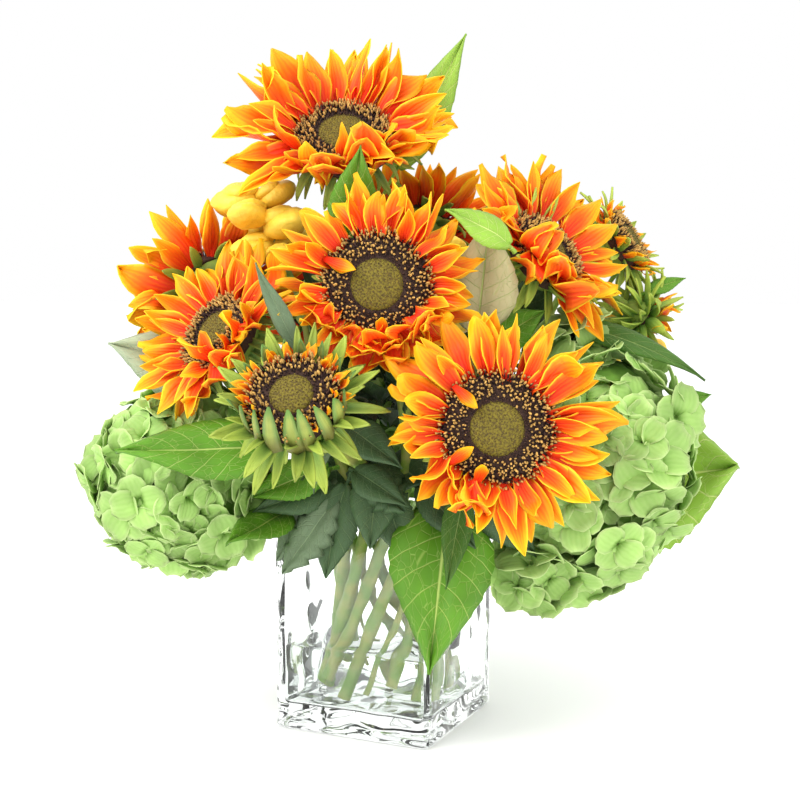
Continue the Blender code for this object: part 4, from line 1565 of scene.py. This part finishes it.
for node in sorted(NODES):
    if node.startswith("leaf_"):
        leaf = turned_leaf(read_leaf(node), *LEAF_TURNS.get(node, (None, 1)))
        make_leaf(node + ".blade", LEAF_KINDS.get(node, "smooth"), leaf,
                  LEAF_LOOKS.get(node, "green"), node)

# %% [markdown]
# Some leaves fill the gaps at the vase's rim and beside the flowers. They have no node
# of their own, so each is laid between a foot and a tip given in the bouquet's frame.

# %% Leaves of the rim and the gaps
FILL_LEAVES = (
    # kind, look, foot, tip, facing, half width, arch
    ("toothed", "grey", (-0.02, -0.056, 0.166), (-0.034, -0.06, 0.104),
     (-0.4, -0.9, 0.1), 0.015, 0.1),
    ("toothed", "grey", (0, -0.066, 0.162), (0.012, -0.078, 0.12),
     (-0.2, -1, 0.2), 0.013, 0.12),
    ("smooth", "grey", (-0.024, -0.072, 0.196), (0.01, -0.098, 0.174),
     (-0.2, -0.9, 0.5), 0.012, 0.15),
    ("smooth", "grey", (-0.02, -0.068, 0.17), (0.014, -0.092, 0.151),
     (-0.2, -0.9, 0.4), 0.011, 0.15),
    ("smooth", "sage", (-0.024, -0.07, 0.192), (-0.04, -0.086, 0.158),
     (-0.5, -0.8, 0.3), 0.0055, 0.22),
    ("toothed", "green", (-0.028, -0.046, 0.168), (-0.078, -0.056, 0.15),
     (-0.1, -0.8, 0.6), 0.015, 0.1),
    ("lobed", "sage", (-0.03, -0.044, 0.16), (-0.064, -0.052, 0.112),
     (-0.5, -0.8, 0.2), 0.015, 0.1),
    ("toothed", "grey", (0.016, -0.058, 0.16), (0.052, -0.088, 0.126),
     (0.2, -0.9, 0.3), 0.012, 0.12),
    ("smooth", "sage", (-0.044, -0.1, 0.236), (-0.07, -0.106, 0.29),
     (-0.5, -0.8, -0.2), 0.0075, 0.04),
    ("smooth", "green", (0.165, 0.016, 0.272), (0.194, 0.02, 0.282),
     (-0.1, -0.9, 0.5), 0.006, 0.08),
    ("smooth", "green", (0.18, 0.01, 0.2), (0.21, 0.012, 0.207),
     (-0.1, -0.9, 0.4), 0.008, 0.06),
    ("toothed", "green", (0.058, -0.03, 0.238), (0.096, -0.044, 0.262),
     (0.1, -0.9, 0.3), 0.013, 0.08),
    ("smooth", "grey", (0.072, 0.01, 0.235), (0.102, 0.004, 0.292),
     (0.2, -1, 0.2), 0.017, 0.08),
    ("smooth", "grey", (0.084, 0.004, 0.226), (0.134, -0.006, 0.262),
     (0.2, -0.9, 0.4), 0.015, 0.1),
    ("smooth", "grey", (-0.026, -0.05, 0.158), (-0.078, -0.058, 0.142),
     (-0.2, -0.9, 0.4), 0.013, 0.1),
    ("toothed", "grey", (-0.002, -0.064, 0.176), (-0.008, -0.082, 0.126),
     (-0.1, -1, 0.3), 0.015, 0.14),
    ("smooth", "grey", (0.05, -0.07, 0.162), (0.088, -0.066, 0.118),
     (0.2, -1, 0.2), 0.015, 0.1),
    ("smooth", "bright", (0.074, -0.088, 0.296), (0.034, -0.094, 0.318),
     (0.3, -0.8, 0.5), 0.012, 0.12),
)
for number, (kind, look, *spots, half_width, arch) in enumerate(FILL_LEAVES):
    foot, tip, facing = (TO_ROW @ Vector(spot) for spot in spots)
    across = (tip - foot).cross(facing).normalized()
    up = across.cross(tip - foot).normalized()
    leaf = {"base": foot, "chord": tip - foot, "arch": arch * (tip - foot).length * up,
            "across": across, "half_width": half_width, "petiole": 0.12}
    make_leaf(f"leaf_fill_{number + 1}.blade", kind, leaf, look)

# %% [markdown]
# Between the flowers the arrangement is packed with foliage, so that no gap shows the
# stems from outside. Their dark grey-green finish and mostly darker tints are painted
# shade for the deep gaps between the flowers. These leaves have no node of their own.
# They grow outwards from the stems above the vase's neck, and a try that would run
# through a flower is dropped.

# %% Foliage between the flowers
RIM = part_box("vase")[1].z
NECK = Vector((0, 0, RIM + 0.035))
FOLIAGE_TRIES = 150
BALLS = [(head["centre"] - 0.006 * head["facing"], head["disc"] * 0.95) for head in HEADS]
for flower in HYDRANGEAS:
    low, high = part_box(flower + "_head")
    BALLS.append(((low + high) / 2, (high - low).length / 2 / math.sqrt(3) * 0.9))


def is_clear(points):
    return all((point - middle).length > size for point in points for middle, size in BALLS)


def make_foliage():
    dice = random.Random("foliage")
    places = []
    for direction in spread_directions(FOLIAGE_TRIES):
        if direction.z < -0.35:
            continue
        direction = shaken(direction, 0.2, dice).normalized()
        rise = max(direction.z, 0)
        foot = NECK + Vector((0, 0, 0.075 * rise)) + direction * dice.uniform(0.012, 0.030)
        length = dice.uniform(0.034, 0.052) * (1 + 0.35 * rise)
        tip = foot + direction * length
        if tip.z < RIM - 0.012 or not is_clear([foot.lerp(tip, t) for t in (0.3, 0.65, 1.0)]):
            continue
        turn = aim(direction, "Y", "Z")
        spin = Matrix.Rotation(dice.uniform(-1.2, 1.2), 4, "Y")
        half = length * dice.uniform(0.24, 0.34)
        size = Matrix.Diagonal((half, length, half, 1))
        # The tints lean dark, as painted shade deep between the flowers.
        places.append((dice.randrange(3), Matrix.Translation(foot) @ turn @ spin @ size,
                       dice.uniform(-0.25, 0.15), dice.uniform(-0.8, 0.5), 0))
    foliage = copies("foliage.inner", list(LEAVES.values()), places)
    # The dark grey leaf finish here is painted shade between the flowers as well as a leaf colour.
    dress(foliage, *LEAF_FINISHES["grey"])
    print(len(places), "leaves between the flowers")


make_foliage()

# %% [markdown]
# The vase is thick pressed glass with a heavy floor. A block gets its upright edges
# rounded, then its top is inset and pushed down to leave the walls, and the rims of
# both are rounded. Cuts across it give the outside enough faces for the ripples of
# pressed glass.

# %% Vase
CORNER_RADIUS = 0.008
RIM_RADIUS = 0.0022
WALL = 0.006
RIPPLE = 0.0026
RIPPLE_SIZE = 0.022
CALM_END = 0.004
CUTS = (13, 13, 17)


def climb(edge):
    """How far an edge rises from one end to the other."""
    return abs(edge.verts[0].co.z - edge.verts[1].co.z)


def block(name, middle, size):
    """A cube at its size and place, with both in its mesh."""
    deselect_all()
    bpy.ops.mesh.primitive_cube_add(size=1, location=middle)
    made = bpy.context.object
    made.name = name
    bpy.ops.transform.resize(value=size)
    bpy.ops.object.transform_apply(location=True, rotation=True, scale=True)
    return made


def hollow_out(vase, tall, floor_height):
    """In edit mode, rounds the block and sinks its top down to the vase's floor."""
    pick_edges(vase, lambda edge: climb(edge) > tall / 2)
    bpy.ops.mesh.bevel(offset=CORNER_RADIUS, segments=4, affect="EDGES")
    bpy.ops.mesh.select_mode(type="FACE")
    bpy.ops.mesh.select_all(action="DESELECT")
    mesh = bmesh.from_edit_mesh(vase.data)
    for face in mesh.faces:
        face.select = face.normal.z > 0.9
    bmesh.update_edit_mesh(vase.data)
    bpy.ops.mesh.inset(thickness=WALL, depth=0)
    bpy.ops.mesh.extrude_region_move(
        TRANSFORM_OT_translate={"value": (0, 0, floor_height - tall)})
    bpy.ops.mesh.select_mode(type="VERT")
    pick_edges(vase, lambda edge: climb(edge) < 1e-6 and len(edge.link_faces) == 2
               and edge.calc_face_angle(0) > 1.0)
    bpy.ops.mesh.select_mode(type="EDGE")
    bpy.ops.mesh.bevel(offset=RIM_RADIUS, segments=2, affect="EDGES")


def cut_across(side, tall):
    """In edit mode, cuts the vase into even slices along each axis."""
    for axis, cuts in enumerate(CUTS):
        normal = [float(axis == i) for i in range(3)]
        for cut in range(1, cuts):
            spot = [0, 0, 0]
            spot[axis] = tall * cut / cuts if axis == 2 else side * (cut / cuts - 0.5)
            bpy.ops.mesh.select_all(action="SELECT")
            bpy.ops.mesh.bisect(plane_co=spot, plane_no=normal)


def ripple_walls(vase, side, tall):
    """Waves the outside, but not the foot, the rim or the inside."""
    outside = [point.index for point in vase.data.vertices
               if CALM_END < point.co.z < tall - CALM_END
               and max(abs(point.co.x), abs(point.co.y)) > side / 2 - WALL / 2]
    vase.vertex_groups.new(name="walls").add(outside, 1.0, "REPLACE")
    ripples = bpy.data.textures.new("ripples", "CLOUDS")
    ripples.noise_scale = RIPPLE_SIZE
    apply_modifier(vase, "SUBSURF", levels=1, render_levels=1)
    apply_modifier(vase, "DISPLACE", texture=ripples, strength=RIPPLE, mid_level=0.62,
                   texture_coords="LOCAL", vertex_group="walls")


def make_vase():
    low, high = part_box("vase")
    side, tall = high.x - low.x, high.z - low.z
    vase = block("vase.glass", (0, 0, tall / 2), (side, side, tall))
    bpy.ops.object.mode_set(mode="EDIT")
    hollow_out(vase, tall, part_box("water")[0].z)
    cut_across(side, tall)
    bpy.ops.object.mode_set(mode="OBJECT")
    ripple_walls(vase, side, tall)
    vase.data.shade_smooth()
    dress(vase, GLASS_FINISH, "vase_glass", "vase")


make_vase()

# %% [markdown]
# The water fills the lower part of the vase. Its body reaches a hair into the glass, so
# that light passes straight from water to glass with no film of air between them.

# %% Water
WATER_SEAT = 0.0009


def make_water():
    low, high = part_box("water")
    size = [h - l + WATER_SEAT for l, h in zip(low, high)]
    water = block("water.body", (low + high) / 2, size)
    apply_modifier(water, "BEVEL", width=0.0015, segments=2)
    dress(water, WATER_FINISH, "water", "water")


make_water()
